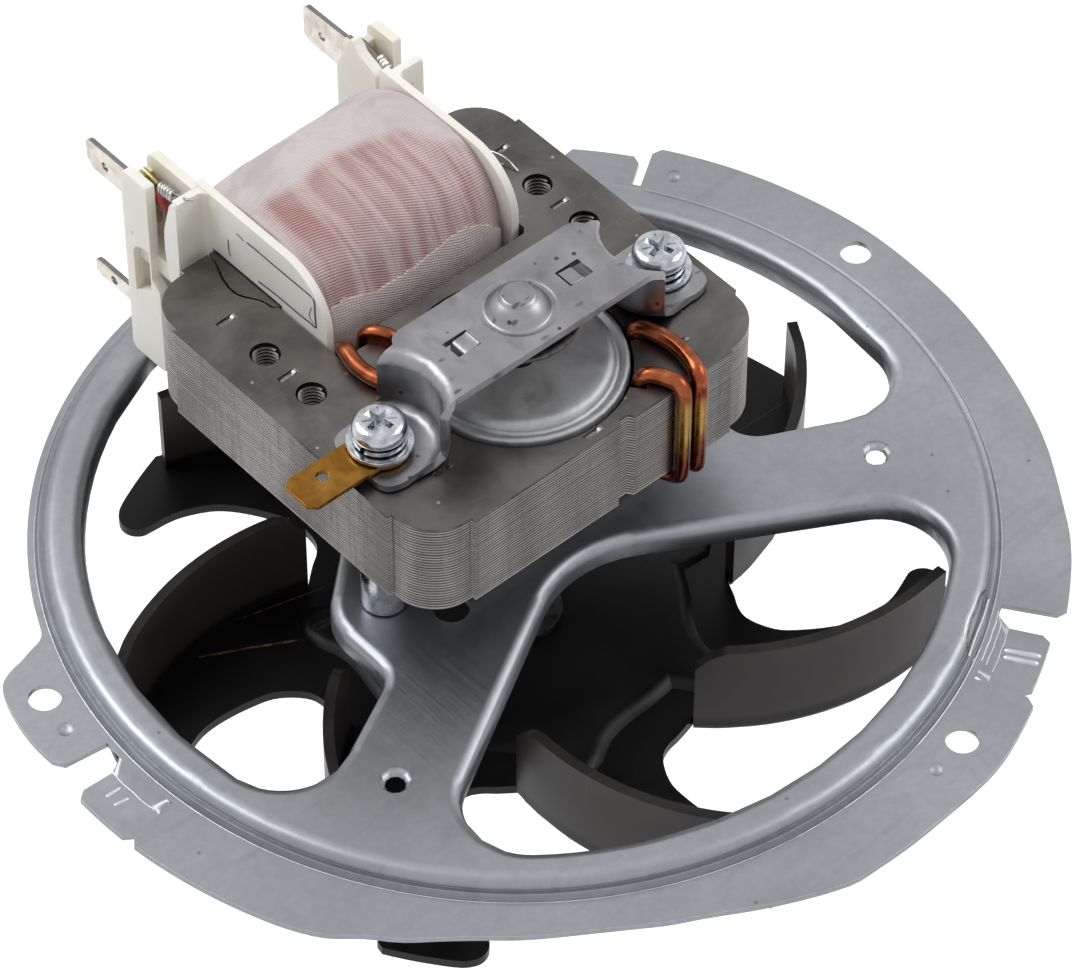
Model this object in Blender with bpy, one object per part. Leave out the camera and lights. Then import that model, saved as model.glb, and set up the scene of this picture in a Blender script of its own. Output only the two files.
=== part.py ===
"""Oven fan motor: shaded-pole motor on a pressed mounting plate, with a seven-arm steel impeller.

Frame: Z is the rotor axis and points to the bearing bracket on top, X runs along the bracket,
Y runs from the rotor to the coil. Z = 0 is the motor side of the plate's outer flange.
"""
import math

import bmesh
import bpy
from mathutils import Vector
from mathutils.geometry import delaunay_2d_cdt

# Clearance between touching or fitted pieces
GAP = 0.0003

# Mounting plate
PLATE_T = 0.0009
PLATEAU_R = 0.0622
STEP_RUN = 0.0034
CREASE_R = PLATEAU_R + STEP_RUN
STEP_H = 0.0024
RING_LAND = 0.0033
WINDOW_R = PLATEAU_R - RING_LAND
FLANGE_W = 0.0094
RIM_BEND = 0.0018
RIM_LOW_Z = -0.0015
SPOKE_HALF_FRONT = 0.0085
SPOKE_HALF_SIDE = 0.0076
MOUNT_HOLE_PCR = CREASE_R + 0.47 * FLANGE_W
MOUNT_HOLE_R = 0.00225
MOUNT_HOLE_DEG = (5.1, 165.4, -75.2)
DIMPLE_PCR = MOUNT_HOLE_PCR
DIMPLE_DEG = (29.8, 170.5, -80.2)
SPOKE_HOLE_PCR = 0.85 * WINDOW_R
SPOKE_HOLE_R = 0.0014
SPOKE_HOLE_DEG = (-30.0, -150.0, 90.0)
SHAFT_PASSAGE_R = 0.0062
VENT_HOLE_XY = (-0.0187, -0.0077)
VENT_HOLE_R = 0.0025
EDGE_MARGIN = 0.0011
RING_EDGE_R = CREASE_R + EDGE_MARGIN
TAB_DROP = 0.0017
TAB_LENGTH = 0.0074
TAB_OUTER_R = RING_EDGE_R + TAB_LENGTH
RING_STEPS = 80

# Stator laminations
STACK_LOW_Z = 0.0153
STACK_TOP_Z = 0.0309
STACK_HALF_W = 0.0306
STACK_FRONT_Y = -0.0173
STACK_BACK_Y = 0.0425
CORNER_R = 0.0066
CORNER_RELIEF = 0.0007
BORE_R = 0.0153
COIL_WINDOW_HALF = 0.0172
COIL_WINDOW_Y = 0.0174
CORE_BAR_FRONT_Y = 0.0286
SHADING_WIRE_R = 0.0010
SHADING_SLOT_PCR = 0.0162
SHADING_SLOT_DEG = (-21.5, -53.2, 158.5, 126.8)
SHADING_NOTCH_Y = 0.0157
TAPPED_HOLE_R = 0.0021
TAPPED_HOLES = ((-0.0240, 0.0232), (-0.0240, 0.0137), (0.0240, 0.0232), (0.0240, 0.0137))

# Bracket screws and what they clamp
SCREW_X = 0.0244
SCREW_Y = -0.0007
SCREW_R = 0.0020
SCREW_HOLE_R = SCREW_R + GAP
SCREW_LOW_Z = -0.0016
SCREW_HEAD_R = 0.0037
SCREW_HEAD_H = 0.0023
WASHER_R = 0.0045
WASHER_T = 0.0006
SPRING_WASHER_R = 0.0036
SPRING_WASHER_T = 0.0008
SPACER_R = 0.0032
EARTH_TAB_T = 0.0007
EARTH_TAB_HALF_W = 0.00315
EARTH_TAB_TIP_X = -0.0385

# Bearing brackets
BRACKET_T = 0.0011
BRACKET_TOP_Z = 0.0415
BRACKET_HALF_W = 0.0071
BRACKET_LEG_BACK_Y = 0.0056
BRACKET_LEG_R = 0.0080
BRACKET_BEND = 0.0020
FOOT_BEND = 0.0016
FOOT_END_X = 0.0286

# Rotor and shaft
SHAFT_R = 0.0020
SHAFT_TOP_Z = 0.0419
SHAFT_LOW_Z = -0.0265
ROTOR_R = 0.0148

# Impeller
ARMS = 7
FAN_T = 0.0015
FAN_LOW_Z = -0.0221
VANE_TOP_Z = -0.0056
VANE_INNER_TOP_Z = -0.0090
FAN_R = 0.0600
VANE_ARC_CENTRE = (0.565 * FAN_R, -0.0383 * FAN_R)
VANE_ARC_R = 0.67 * FAN_R
VANE_START_DEG = -135.8
VANE_END_DEG = -79.8
VANE_BEND = 0.0013
FAN_HUB_RISE = 0.0012
FAN_HUB_SLOPE = 0.0018

# Coil
CHEEK_OUTER_X = COIL_WINDOW_HALF - GAP
CHEEK_T = 0.0012
CHEEK_FRONT_Y = 0.0190
CHEEK_CORNER_R = 0.0086
COIL_CENTRE_Y = 0.03445
COIL_CENTRE_Z = 0.0231
COIL_HALF_Y = 0.0136
COIL_HALF_Z = 0.01815
CHEEK_LOW_Z = COIL_CENTRE_Z - COIL_HALF_Z - 0.00005
CHEEK_TOP_Z = COIL_CENTRE_Z + COIL_HALF_Z + 0.00005
COIL_CORNER_R = 0.0112
TAPE_T = 0.00035
TUBE_WALL = 0.0009

# Terminal blocks: an inner wall, an outer wall and the walls between them
INNER_WALL_X = (CHEEK_OUTER_X - 0.0004, CHEEK_OUTER_X + 0.0011)
OUTER_WALL_X = (CHEEK_OUTER_X + 0.0040, CHEEK_OUTER_X + 0.0055)
BLOCK_FRONT_Y = 0.0496
BLOCK_END_Y = 0.0551
BLOCK_LOW_Z = 0.0065
BLOCK_TOP_Z = 0.0407
END_WALL_FRONT_Y = 0.0536
END_WALL_TOP_Z = 0.0386
BRIDGE_Z = (0.0244, 0.0275)
WING_Y = (0.0441, 0.0453)
WING_TIP_X = CHEEK_OUTER_X + 0.0048
TERMINAL_X = CHEEK_OUTER_X + 0.0023
TERMINAL_T = 0.0008
TERMINAL_TIP_Y = 0.0665


def clear_scene():
    for item in list(bpy.data.objects):
        bpy.data.objects.remove(item, do_unlink=True)


def material(name, colour, metallic, roughness):
    made = bpy.data.materials.new(name)
    made.use_nodes = True
    shader = made.node_tree.nodes["Principled BSDF"]
    shader.inputs["Base Color"].default_value = (*colour, 1.0)
    shader.inputs["Metallic"].default_value = metallic
    shader.inputs["Roughness"].default_value = roughness
    made.diffuse_color = (*colour, 1.0)
    return made


def polar(radius, degrees):
    angle = math.radians(degrees)
    return (radius * math.cos(angle), radius * math.sin(angle))


def circle(centre, radius, steps, start=0.0):
    found = []
    for i in range(steps):
        x, y = polar(radius, start + 360.0 * i / steps)
        found.append((centre[0] + x, centre[1] + y))
    return found


def arc(centre, radius, first, last, steps):
    found = []
    for i in range(steps + 1):
        x, y = polar(radius, first + (last - first) * i / steps)
        found.append((centre[0] + x, centre[1] + y))
    return found


def bezier(a, b, c, d, steps):
    found = []
    for i in range(steps + 1):
        t = i / steps
        weights = ((1 - t) ** 3, 3 * t * (1 - t) ** 2, 3 * t * t * (1 - t), t ** 3)
        x = sum(w * p[0] for w, p in zip(weights, (a, b, c, d)))
        y = sum(w * p[1] for w, p in zip(weights, (a, b, c, d)))
        found.append((x, y))
    return found


def fillet(corners, step_deg=18.0):
    """Closed polygon from (x, y, radius) corners, each rounded by its radius."""
    found = []
    count = len(corners)
    for i, (x, y, radius) in enumerate(corners):
        here = Vector((x, y))
        before = (Vector(corners[i - 1][:2]) - here).normalized()
        after = (Vector(corners[(i + 1) % count][:2]) - here).normalized()
        if radius <= 0.0:
            found.append((x, y))
            continue
        half = before.angle(after) / 2.0
        centre = here + (before + after).normalized() * (radius / math.sin(half))
        start = here + before * (radius / math.tan(half)) - centre
        end = here + after * (radius / math.tan(half)) - centre
        first = math.degrees(math.atan2(start.y, start.x))
        turn = math.degrees(math.atan2(end.y, end.x)) - first
        turn = (turn + 180.0) % 360.0 - 180.0
        steps = max(1, round(abs(turn) / step_deg))
        found += arc((centre.x, centre.y), radius, first, first + turn, steps)
    return tidy_loop(found)


def tidy_loop(points):
    kept = []
    for point in points:
        if not kept or math.dist(point, kept[-1]) > 1e-6:
            kept.append(point)
    if math.dist(kept[0], kept[-1]) < 1e-6:
        kept.pop()
    return kept


def signed_area(loop):
    total = 0.0
    for (ax, ay), (bx, by) in zip(loop, loop[1:] + loop[:1]):
        total += ax * by - bx * ay
    return total / 2.0


def offset_loop(loop, distance):
    """Moves each point outward by the distance, keeping the sides parallel."""
    turn = 1.0 if signed_area(loop) > 0 else -1.0
    found = []
    for before, here, after in zip(loop[-1:] + loop[:-1], loop, loop[1:] + loop[:1]):
        a = (Vector(here) - Vector(before)).normalized()
        b = (Vector(after) - Vector(here)).normalized()
        na = Vector((a.y, -a.x)) * turn
        nb = Vector((b.y, -b.x)) * turn
        both = (na + nb).normalized()
        reach = distance / max(0.5, both.dot(na))
        found.append((here[0] + both.x * reach, here[1] + both.y * reach))
    return found


def inside(point, loop):
    x, y = point
    odd = False
    for (ax, ay), (bx, by) in zip(loop, loop[1:] + loop[:1]):
        if (ay > y) != (by > y) and x < (bx - ax) * (y - ay) / (by - ay) + ax:
            odd = not odd
    return odd


def mirrored(loop):
    return [(-x, y) for x, y in reversed(loop)]


class Shell:
    """A surface of strips and flat regions, merged where they meet."""

    def __init__(self):
        self.points = []
        self.faces = []

    def add_points(self, points):
        first = len(self.points)
        self.points += [tuple(p) for p in points]
        return list(range(first, first + len(points)))

    def strip(self, row_a, row_b, closed):
        a = self.add_points(row_a)
        b = self.add_points(row_b)
        for i in range(len(a) if closed else len(a) - 1):
            j = (i + 1) % len(a)
            self.faces.append((a[i], a[j], b[j], b[i]))

    def rows(self, rows, closed):
        for row_a, row_b in zip(rows, rows[1:]):
            self.strip(row_a, row_b, closed)

    def flat(self, outer, holes, z):
        coords = []
        edges = []
        for loop in [outer] + holes:
            first = len(coords)
            coords += [Vector(p) for p in loop]
            edges += [(first + i, first + (i + 1) % len(loop)) for i in range(len(loop))]
        found = delaunay_2d_cdt(coords, edges, [], 0, 1e-9)
        index = self.add_points([(p.x, p.y, z) for p in found[0]])
        for face in found[2]:
            middle = [sum(found[0][i][k] for i in face) / len(face) for k in (0, 1)]
            if inside(middle, outer) and not any(inside(middle, h) for h in holes):
                self.faces.append(tuple(index[i] for i in face))

    def mesh(self, name):
        mesh = bpy.data.meshes.new(name)
        mesh.from_pydata(self.points, [], self.faces)
        work = bmesh.new()
        work.from_mesh(mesh)
        bmesh.ops.remove_doubles(work, verts=work.verts, dist=2e-6)
        bmesh.ops.dissolve_degenerate(work, dist=1e-7, edges=work.edges)
        bmesh.ops.recalc_face_normals(work, faces=work.faces)
        work.to_mesh(mesh)
        work.free()
        return mesh


def lifted(loop, z):
    return [(x, y, z) for x, y in loop]


def shade(mesh, degrees=32.0):
    """Smooth across shallow edges, crisp across the others."""
    work = bmesh.new()
    work.from_mesh(mesh)
    for face in work.faces:
        face.smooth = True
    for edge in work.edges:
        if len(edge.link_faces) == 2:
            edge.smooth = edge.calc_face_angle() < math.radians(degrees)
    work.to_mesh(mesh)
    work.free()


def add_object(name, mesh, surface):
    """Each object gets a material of its own, copied from the shared finish."""
    made = bpy.data.objects.new(name, mesh)
    bpy.context.scene.collection.objects.link(made)
    own = surface.copy()
    own.name = name
    mesh.materials.clear()
    mesh.materials.append(own)
    return made


def settle(made):
    """Turns the object's modifiers into plain mesh and removes the cutters."""
    helpers = [m.object for m in made.modifiers if m.type == "BOOLEAN"]
    bpy.context.view_layer.update()
    graph = bpy.context.evaluated_depsgraph_get()
    mesh = bpy.data.meshes.new_from_object(made.evaluated_get(graph), depsgraph=graph)
    surface = made.data.materials[0]
    made.modifiers.clear()
    made.data = mesh
    mesh.name = made.name
    mesh.materials.clear()
    mesh.materials.append(surface)
    for helper in helpers:
        bpy.data.objects.remove(helper, do_unlink=True)
    shade(mesh)
    return made


def thicken(name, shell, thickness, surface, up_at):
    """Sheet-metal body: the shell is the face that looks up at the given point."""
    mesh = shell.mesh(name)
    nearest = min(mesh.polygons, key=lambda p: (p.center - Vector(up_at)).length)
    if nearest.normal.z < 0:
        mesh.flip_normals()
    made = add_object(name, mesh, surface)
    solid = made.modifiers.new("thickness", "SOLIDIFY")
    solid.thickness = thickness
    solid.offset = -1.0
    solid.use_even_offset = True
    return settle(made)


def prism_mesh(name, outer, holes, low, high):
    shell = Shell()
    shell.flat(outer, holes, low)
    shell.flat(outer, holes, high)
    for loop in [outer] + holes:
        shell.strip(lifted(loop, low), lifted(loop, high), True)
    return shell.mesh(name)


def prism(name, outer, holes, low, high, surface):
    mesh = prism_mesh(name, outer, holes, low, high)
    shade(mesh)
    return add_object(name, mesh, surface)


def prism_x(name, outer, holes, low, high, surface):
    """A prism whose outline lies in (y, z) and whose length runs along X."""
    mesh = prism_mesh(name, outer, holes, low, high)
    for vertex in mesh.vertices:
        x, y, z = vertex.co
        vertex.co = (z, x, y)
    shade(mesh)
    return add_object(name, mesh, surface)


def revolve(name, profile, steps, surface, centre=(0.0, 0.0)):
    """Closed ring or solid from an (r, z) outline about a vertical axis."""
    shell = Shell()
    count = len(profile)
    for i in range(count):
        (ra, za), (rb, zb) = profile[i], profile[(i + 1) % count]
        if ra < 1e-7 and rb < 1e-7:
            continue
        row_a = lifted(circle((0, 0), max(ra, 1e-9), steps), za)
        row_b = lifted(circle((0, 0), max(rb, 1e-9), steps), zb)
        shell.strip(row_a, row_b, True)
    mesh = shell.mesh(name)
    shade(mesh)
    made = add_object(name, mesh, surface)
    made.location = (centre[0], centre[1], 0.0)
    return made


def combine(target, other, operation):
    step = target.modifiers.new(operation.lower(), "BOOLEAN")
    step.operation = operation
    step.solver = "EXACT"
    step.object = other
    other.hide_render = True
    other.display_type = "WIRE"


def box_loop(x0, y0, x1, y1):
    return [(x0, y0), (x1, y0), (x1, y1), (x0, y1)]


def rounded_box(x0, y0, x1, y1, radius, step_deg=22.5):
    corners = [(x, y, radius) for x, y in box_loop(x0, y0, x1, y1)]
    return fillet(corners, step_deg)


# Mounting plate outline

def flange_radius(degrees):
    """Outer radius of the flange: its width beyond the crease, as shares of FLANGE_W by angle."""
    table = (
        (-173.6, 1.000), (-153.0, 1.021), (-144.0, 0.777), (-136.0, 0.596), (-123.0, 0.532),
        (-112.0, 0.638), (-104.0, 0.840), (-97.0, 1.053), (-84.0, 1.053), (-76.0, 1.128),
        (-66.6, 1.064), (-54.8, 1.043), (-47.0, 1.021), (-36.0, 0.915), (-18.0, 0.862), (-4.0, 0.894),
        (9.0, 0.947), (33.2, 0.979),
    )
    for (a, ra), (b, rb) in zip(table, table[1:]):
        if a <= degrees <= b:
            t = (degrees - a) / (b - a)
            t = t * t * (3 - 2 * t)
            return CREASE_R + FLANGE_W * (ra + (rb - ra) * t)
    return RING_EDGE_R


def flange_stretch(first, last, step=3.8):
    """One stretch of the flange edge between two cuts, with slightly rounded corners."""
    count = max(2, round((last - first) / step))
    found = [polar(RING_EDGE_R, first)]
    found.append(polar(flange_radius(first) - 0.0012, first))
    for i in range(count + 1):
        degrees = first + (last - first) * i / count
        if i == 0:
            degrees += 0.9
        if i == count:
            degrees -= 0.9
        found.append(polar(flange_radius(degrees), degrees))
    found.append(polar(flange_radius(last) - 0.0012, last))
    found.append(polar(RING_EDGE_R, last))
    return found


def tab_root(first, last, count=5):
    return [polar(RING_EDGE_R, first + (last - first) * i / count) for i in range(count + 1)]


def plate_tab(shell, first, last):
    """A tab stepped down toward the impeller side, with a small embossed rib."""
    rows = []
    stations = ((0.0, 0.0, 0.0), (0.11, -0.5, 0.25), (0.22, -1.0, 0.35), (0.45, -1.0, 0.35),
                (0.84, -1.0, 0.35), (1.0, -1.0, 1.1))
    for share, drop, trim in stations:
        radius = RING_EDGE_R + TAB_LENGTH * share
        a, b = first + trim, last - trim
        row = []
        for i in range(6):
            x, y = polar(radius, a + (b - a) * i / 5)
            row.append((x, y, TAB_DROP * drop))
        rows.append(row)
    shell.rows(rows, False)


def front_window():
    """The window opposite the coil: two spoke edges, the outer arc and a wide inner round."""
    spoke = Vector(polar(1.0, -30.0))
    side = Vector((spoke.y, -spoke.x))
    outer_fillet = 0.0090
    inner_fillet = 0.0170
    h = SPOKE_HALF_FRONT + outer_fillet
    along = math.sqrt((WINDOW_R - outer_fillet) ** 2 - h * h)
    centre = spoke * along + side * h
    first = math.degrees(math.atan2(centre.y, centre.x))
    edge_dir = math.degrees(math.atan2(-side.y, -side.x))
    half = arc((0, 0), WINDOW_R, -90.0, first, 5)
    half += arc((centre.x, centre.y), outer_fillet, first, edge_dir, 5)[1:]
    inner_centre = (0.0, -(SPOKE_HALF_FRONT + inner_fillet) / math.sin(math.radians(60.0)))
    half += arc(inner_centre, inner_fillet, edge_dir, 90.0, 3)
    half = tidy_loop(half)
    return tidy_loop(half + [(-x, y) for x, y in reversed(half)])


def left_window():
    """The window beside the coil, shortened by the land that carries the spacer."""
    outer_fillet = 0.0090
    spoke = Vector(polar(1.0, -150.0))
    side = Vector((spoke.y, -spoke.x))
    h = SPOKE_HALF_SIDE + outer_fillet
    along = math.sqrt((WINDOW_R - outer_fillet) ** 2 - h * h)
    near = spoke * along + side * h
    far = Vector((-h, along))
    near_deg = math.degrees(math.atan2(near.y, near.x)) % 360.0
    far_deg = math.degrees(math.atan2(far.y, far.x)) % 360.0
    near_edge = math.degrees(math.atan2(-side.y, -side.x)) % 360.0
    loop = arc((0, 0), WINDOW_R, far_deg, near_deg, 8)
    loop += arc((near.x, near.y), outer_fillet, near_deg, near_edge + (360 if near_edge < near_deg else 0), 5)[1:]
    entry = spoke * (along - 0.001) + side * SPOKE_HALF_SIDE
    exit_point = (-SPOKE_HALF_SIDE, along - 0.001)
    inner = fillet([
        (entry.x, entry.y, 0.0), (-0.0322, -0.0106, 0.0050), (-0.0322, 0.0022, 0.0090),
        (-SPOKE_HALF_SIDE, 0.0238, 0.0080), (exit_point[0], exit_point[1], 0.0)], 24.0)
    loop += inner
    loop += arc((far.x, far.y), outer_fillet, 0.0, far_deg, 5)[:-1]
    return tidy_loop(loop)


def plate_window_rims(shell, loop):
    """Turned-down rim of one window; returns the loop where it leaves the flat."""
    rows = []
    steps = 2
    for i in range(steps + 1):
        angle = math.radians(90.0 * i / steps)
        inset = RIM_BEND * (1.0 - math.sin(angle))
        z = STEP_H - RIM_BEND * (1.0 - math.cos(angle))
        rows.append(lifted(offset_loop(loop, inset), z))
    rows.append(lifted(loop, RIM_LOW_Z))
    shell.rows(rows, True)
    return offset_loop(loop, RIM_BEND)


def build_mounting_plate(surface):
    shell = Shell()
    windows = [front_window(), left_window(), mirrored(left_window())]
    window_edges = [plate_window_rims(shell, loop) for loop in windows]
    profile = ((0.0, 1.0), (0.2, 0.97), (0.4, 0.8), (0.65, 0.34), (0.82, 0.08), (1.0, 0.0))
    step = [(PLATEAU_R + STEP_RUN * along, STEP_H * height) for along, height in profile]
    shell.rows([lifted(circle((0, 0), r, RING_STEPS), z) for r, z in step], True)
    holes = list(window_edges)
    for degrees in SPOKE_HOLE_DEG:
        centre = polar(SPOKE_HOLE_PCR, degrees)
        ring = circle(centre, SPOKE_HOLE_R + 0.0009, 10)
        throat = circle(centre, SPOKE_HOLE_R, 10)
        shell.strip(lifted(ring, STEP_H), lifted(throat, STEP_H - 0.0011), True)
        holes.append(ring)
    holes.append(circle((0, 0), SHAFT_PASSAGE_R, 18))
    holes.append(circle((SCREW_X, SCREW_Y), SCREW_HOLE_R, 12))
    holes.append(circle((-SCREW_X, SCREW_Y), SCREW_HOLE_R, 12))
    holes.append(circle(VENT_HOLE_XY, VENT_HOLE_R, 14))
    shell.flat(circle((0, 0), PLATEAU_R, RING_STEPS), holes, STEP_H)
    outline = flange_stretch(-54.8, 33.2)
    outline += tab_root(34.3, 43.5)
    outline += [polar(RING_EDGE_R, 43.5 + (156.0 - 43.5) * i / 22) for i in range(23)]
    ear = ((0.19, 157.4), (0.35, 158.4), (0.55, 159.6), (0.70, 160.3), (0.82, 161.0), (0.91, 161.8),
           (0.96, 162.8), (0.99, 165.4), (0.98, 169.5), (0.91, 173.4), (0.79, 174.5))
    outline += [polar(CREASE_R + FLANGE_W * share, degrees) for share, degrees in ear]
    outline += [polar(RING_EDGE_R, 174.7)]
    outline += tab_root(177.2, 185.9)
    outline += flange_stretch(-173.6, -66.6)
    outline += tab_root(-65.6, -56.6)
    mounts = [circle(polar(MOUNT_HOLE_PCR, a), MOUNT_HOLE_R, 16) for a in MOUNT_HOLE_DEG]
    for degrees in DIMPLE_DEG:
        centre = polar(DIMPLE_PCR, degrees)
        rim = circle(centre, 0.0013, 8)
        floor = circle(centre, 0.0007, 8)
        shell.strip(lifted(rim, 0.0), lifted(floor, -0.0006), True)
        shell.flat(floor, [], -0.0006)
        mounts.append(rim)
    shell.flat(tidy_loop(outline), [circle((0, 0), CREASE_R, RING_STEPS)] + mounts, 0.0)
    for first, last in ((34.3, 43.5), (177.2, 185.9), (-65.6, -56.6)):
        plate_tab(shell, first, last)
    return thicken("mounting_plate", shell, PLATE_T, surface, (0.0, PLATEAU_R + 0.5 * STEP_RUN, STEP_H))


# Stator

def stack_outline():
    """Lamination outline: square sides with rounded corners set back by a small relief."""
    found = []
    half = STACK_HALF_W
    reach = CORNER_R + CORNER_RELIEF + 0.0007
    corners = ((-1, -1, STACK_FRONT_Y), (1, -1, STACK_FRONT_Y), (1, 1, STACK_BACK_Y), (-1, 1, STACK_BACK_Y))
    for sx, sy, edge_y in corners:
        cx = sx * (half - CORNER_RELIEF - CORNER_R)
        cy = edge_y - sy * (CORNER_RELIEF + CORNER_R)
        along_x = [(sx * (half - reach), edge_y), (sx * (half - reach), edge_y - sy * CORNER_RELIEF)]
        along_y = [(sx * half, edge_y - sy * reach), (sx * (half - CORNER_RELIEF), edge_y - sy * reach)]
        mid = math.degrees(math.atan2(sy, sx))
        turn = arc((cx, cy), CORNER_R, mid - 45.0, mid + 45.0, 6)
        if sx * sy > 0:
            found += along_y + turn + along_x[::-1]
        else:
            found += along_x + turn + along_y[::-1]
    return tidy_loop(found)


def build_stator(surface):
    outline = []
    groove = ((0.0025, 0.0), (0.0031, 0.0009), (0.0046, 0.0009), (0.0052, 0.0))
    for x, y in stack_outline():
        outline.append((x, y))
        if abs(y - STACK_FRONT_Y) < 1e-9 and x < 0:
            last_front = len(outline)
    cut = [(x, STACK_FRONT_Y + depth) for x, depth in groove]
    outline = outline[:last_front] + cut + outline[last_front:]
    seam = core_seam(-1)
    # The coil window opens to the back, where the core bar closes it.
    back = [i for i, (x, y) in enumerate(outline) if abs(y - STACK_BACK_Y) < 1e-9 and x > 0][-1]
    left_seam = [(x, y) for x, y in seam]
    right_seam = [(-x, y) for x, y in reversed(seam)]
    mouth = right_seam
    mouth += [(COIL_WINDOW_HALF, COIL_WINDOW_Y + 0.0008), (COIL_WINDOW_HALF - 0.0008, COIL_WINDOW_Y)]
    mouth += [(-0.0102, COIL_WINDOW_Y), (-0.0108, SHADING_NOTCH_Y), (-COIL_WINDOW_HALF, SHADING_NOTCH_Y)]
    mouth += left_seam
    outline = outline[:back + 1] + mouth + outline[back + 1:]
    holes = [circle(p, TAPPED_HOLE_R, 16) for p in TAPPED_HOLES]
    holes += [circle((s * SCREW_X, SCREW_Y), SCREW_HOLE_R, 16) for s in (-1, 1)]
    holes.append(bore_loop())
    return prism("stator_c_core", tidy_loop(outline), holes, STACK_LOW_Z, STACK_TOP_Z, surface)


def bore_loop():
    """Rotor bore with four slots that take the shading coils."""
    found = []
    slot_half = math.degrees((SHADING_WIRE_R + 0.0004) / BORE_R)
    slot_depth_r = SHADING_SLOT_PCR + SHADING_WIRE_R + GAP
    marks = sorted(a % 360.0 for a in SHADING_SLOT_DEG)
    edges = []
    for mark in marks:
        edges.append((mark - slot_half, mark + slot_half))
    for (a, b), (c, d) in zip(edges, edges[1:] + [(edges[0][0] + 360.0, edges[0][1] + 360.0)]):
        found += [polar(BORE_R, a), polar(slot_depth_r, a + 1.0), polar(slot_depth_r, b - 1.0)]
        steps = max(2, round((c - b) / 6.0))
        found += arc((0, 0), BORE_R, b, c, steps)[:-1]
    return tidy_loop(found)


def core_seam(side):
    """Curved joint between a leg of the C and the coil's core bar, front to back."""
    x = COIL_WINDOW_HALF
    y = CORE_BAR_FRONT_Y
    points = [(x, y)]
    points += bezier((x + 0.0008, y + 0.0006), (x + 0.0008, y + 0.0039), (x + 0.0032, y + 0.0039),
                     (x + 0.0028, y + 0.0071), 5)
    points += bezier((x + 0.0028, y + 0.0071), (x + 0.0024, y + 0.0104), (x + 0.0009, y + 0.0114),
                     (x + 0.0009, STACK_BACK_Y), 4)[1:]
    return [(side * x, y) for x, y in points]


def build_core_bar(surface):
    right = offset_path([(x, y) for x, y in core_seam(1)], GAP)
    right[0] = (right[0][0], CORE_BAR_FRONT_Y)
    right[-1] = (right[-1][0], STACK_BACK_Y)
    loop = right + [(-x, y) for x, y in reversed(right)]
    return prism("coil_core_bar", tidy_loop(loop), [], STACK_LOW_Z, STACK_TOP_Z, surface)


def offset_path(points, distance):
    """Open path shifted to its left, by the distance, along averaged normals."""
    found = []
    for i, here in enumerate(points):
        a = Vector(points[max(i - 1, 0)])
        b = Vector(points[min(i + 1, len(points) - 1)])
        along = (b - a).normalized()
        found.append((here[0] - along.y * distance, here[1] + along.x * distance))
    return found


# Shading coils

def build_shading_coil(name, slot_deg, outer, bulge, surface):
    """A closed copper loop through a bore slot, round one lip of the stator."""
    inner = Vector(polar(SHADING_SLOT_PCR, slot_deg))
    outer = Vector(outer)
    low = STACK_LOW_Z - SHADING_WIRE_R - GAP
    high = STACK_TOP_Z + SHADING_WIRE_R + GAP
    span = (outer - inner).length
    along = (outer - inner) / span
    across = Vector((along.y, -along.x))
    path = rounded_box(0.0, low, span, high, min(0.0017, span * 0.42), 30.0)
    dense = []
    for a, b in zip(path, path[1:] + path[:1]):
        dense.append(a)
        if abs(a[1] - b[1]) < 1e-9 and abs(a[0] - b[0]) > 0.003:
            dense += [(a[0] + (b[0] - a[0]) * k / 3, a[1]) for k in (1, 2)]
    points = []
    for u, z in dense:
        t = min(max(u / span, 0.0), 1.0)
        plan = inner + along * u + across * (bulge * 4 * t * (1 - t))
        points.append(Vector((plan.x, plan.y, z)))
    sides = 8
    shell = Shell()
    rows = []
    count = len(points)
    for i, point in enumerate(points):
        tangent = (points[(i + 1) % count] - points[i - 1]).normalized()
        first = Vector((across.x, across.y, 0.0))
        first = (first - tangent * first.dot(tangent)).normalized()
        second = tangent.cross(first)
        row = []
        for k in range(sides):
            angle = math.tau * (k + 0.5) / sides
            row.append(point + (first * math.cos(angle) + second * math.sin(angle)) * SHADING_WIRE_R)
        rows.append(row)
    shell.rows(rows + rows[:1], True)
    mesh = shell.mesh(name)
    shade(mesh, 60.0)
    return add_object(name, mesh, surface)


# Bearing brackets

def leg_row(radius, z, side, flip, count=7):
    """One row of the concave leg wall, at a radius about the screw axis."""
    front = math.degrees(math.asin((BRACKET_HALF_W + SCREW_Y) / radius))
    back = math.degrees(math.asin((BRACKET_LEG_BACK_Y - SCREW_Y) / max(radius, 0.0070)))
    row = []
    for i in range(count + 1):
        angle = math.radians(-front + (front + back) * i / count)
        x = SCREW_X - radius * math.cos(angle)
        y = SCREW_Y + radius * math.sin(angle)
        row.append((side * x, y, flip(z)))
    return row


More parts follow.
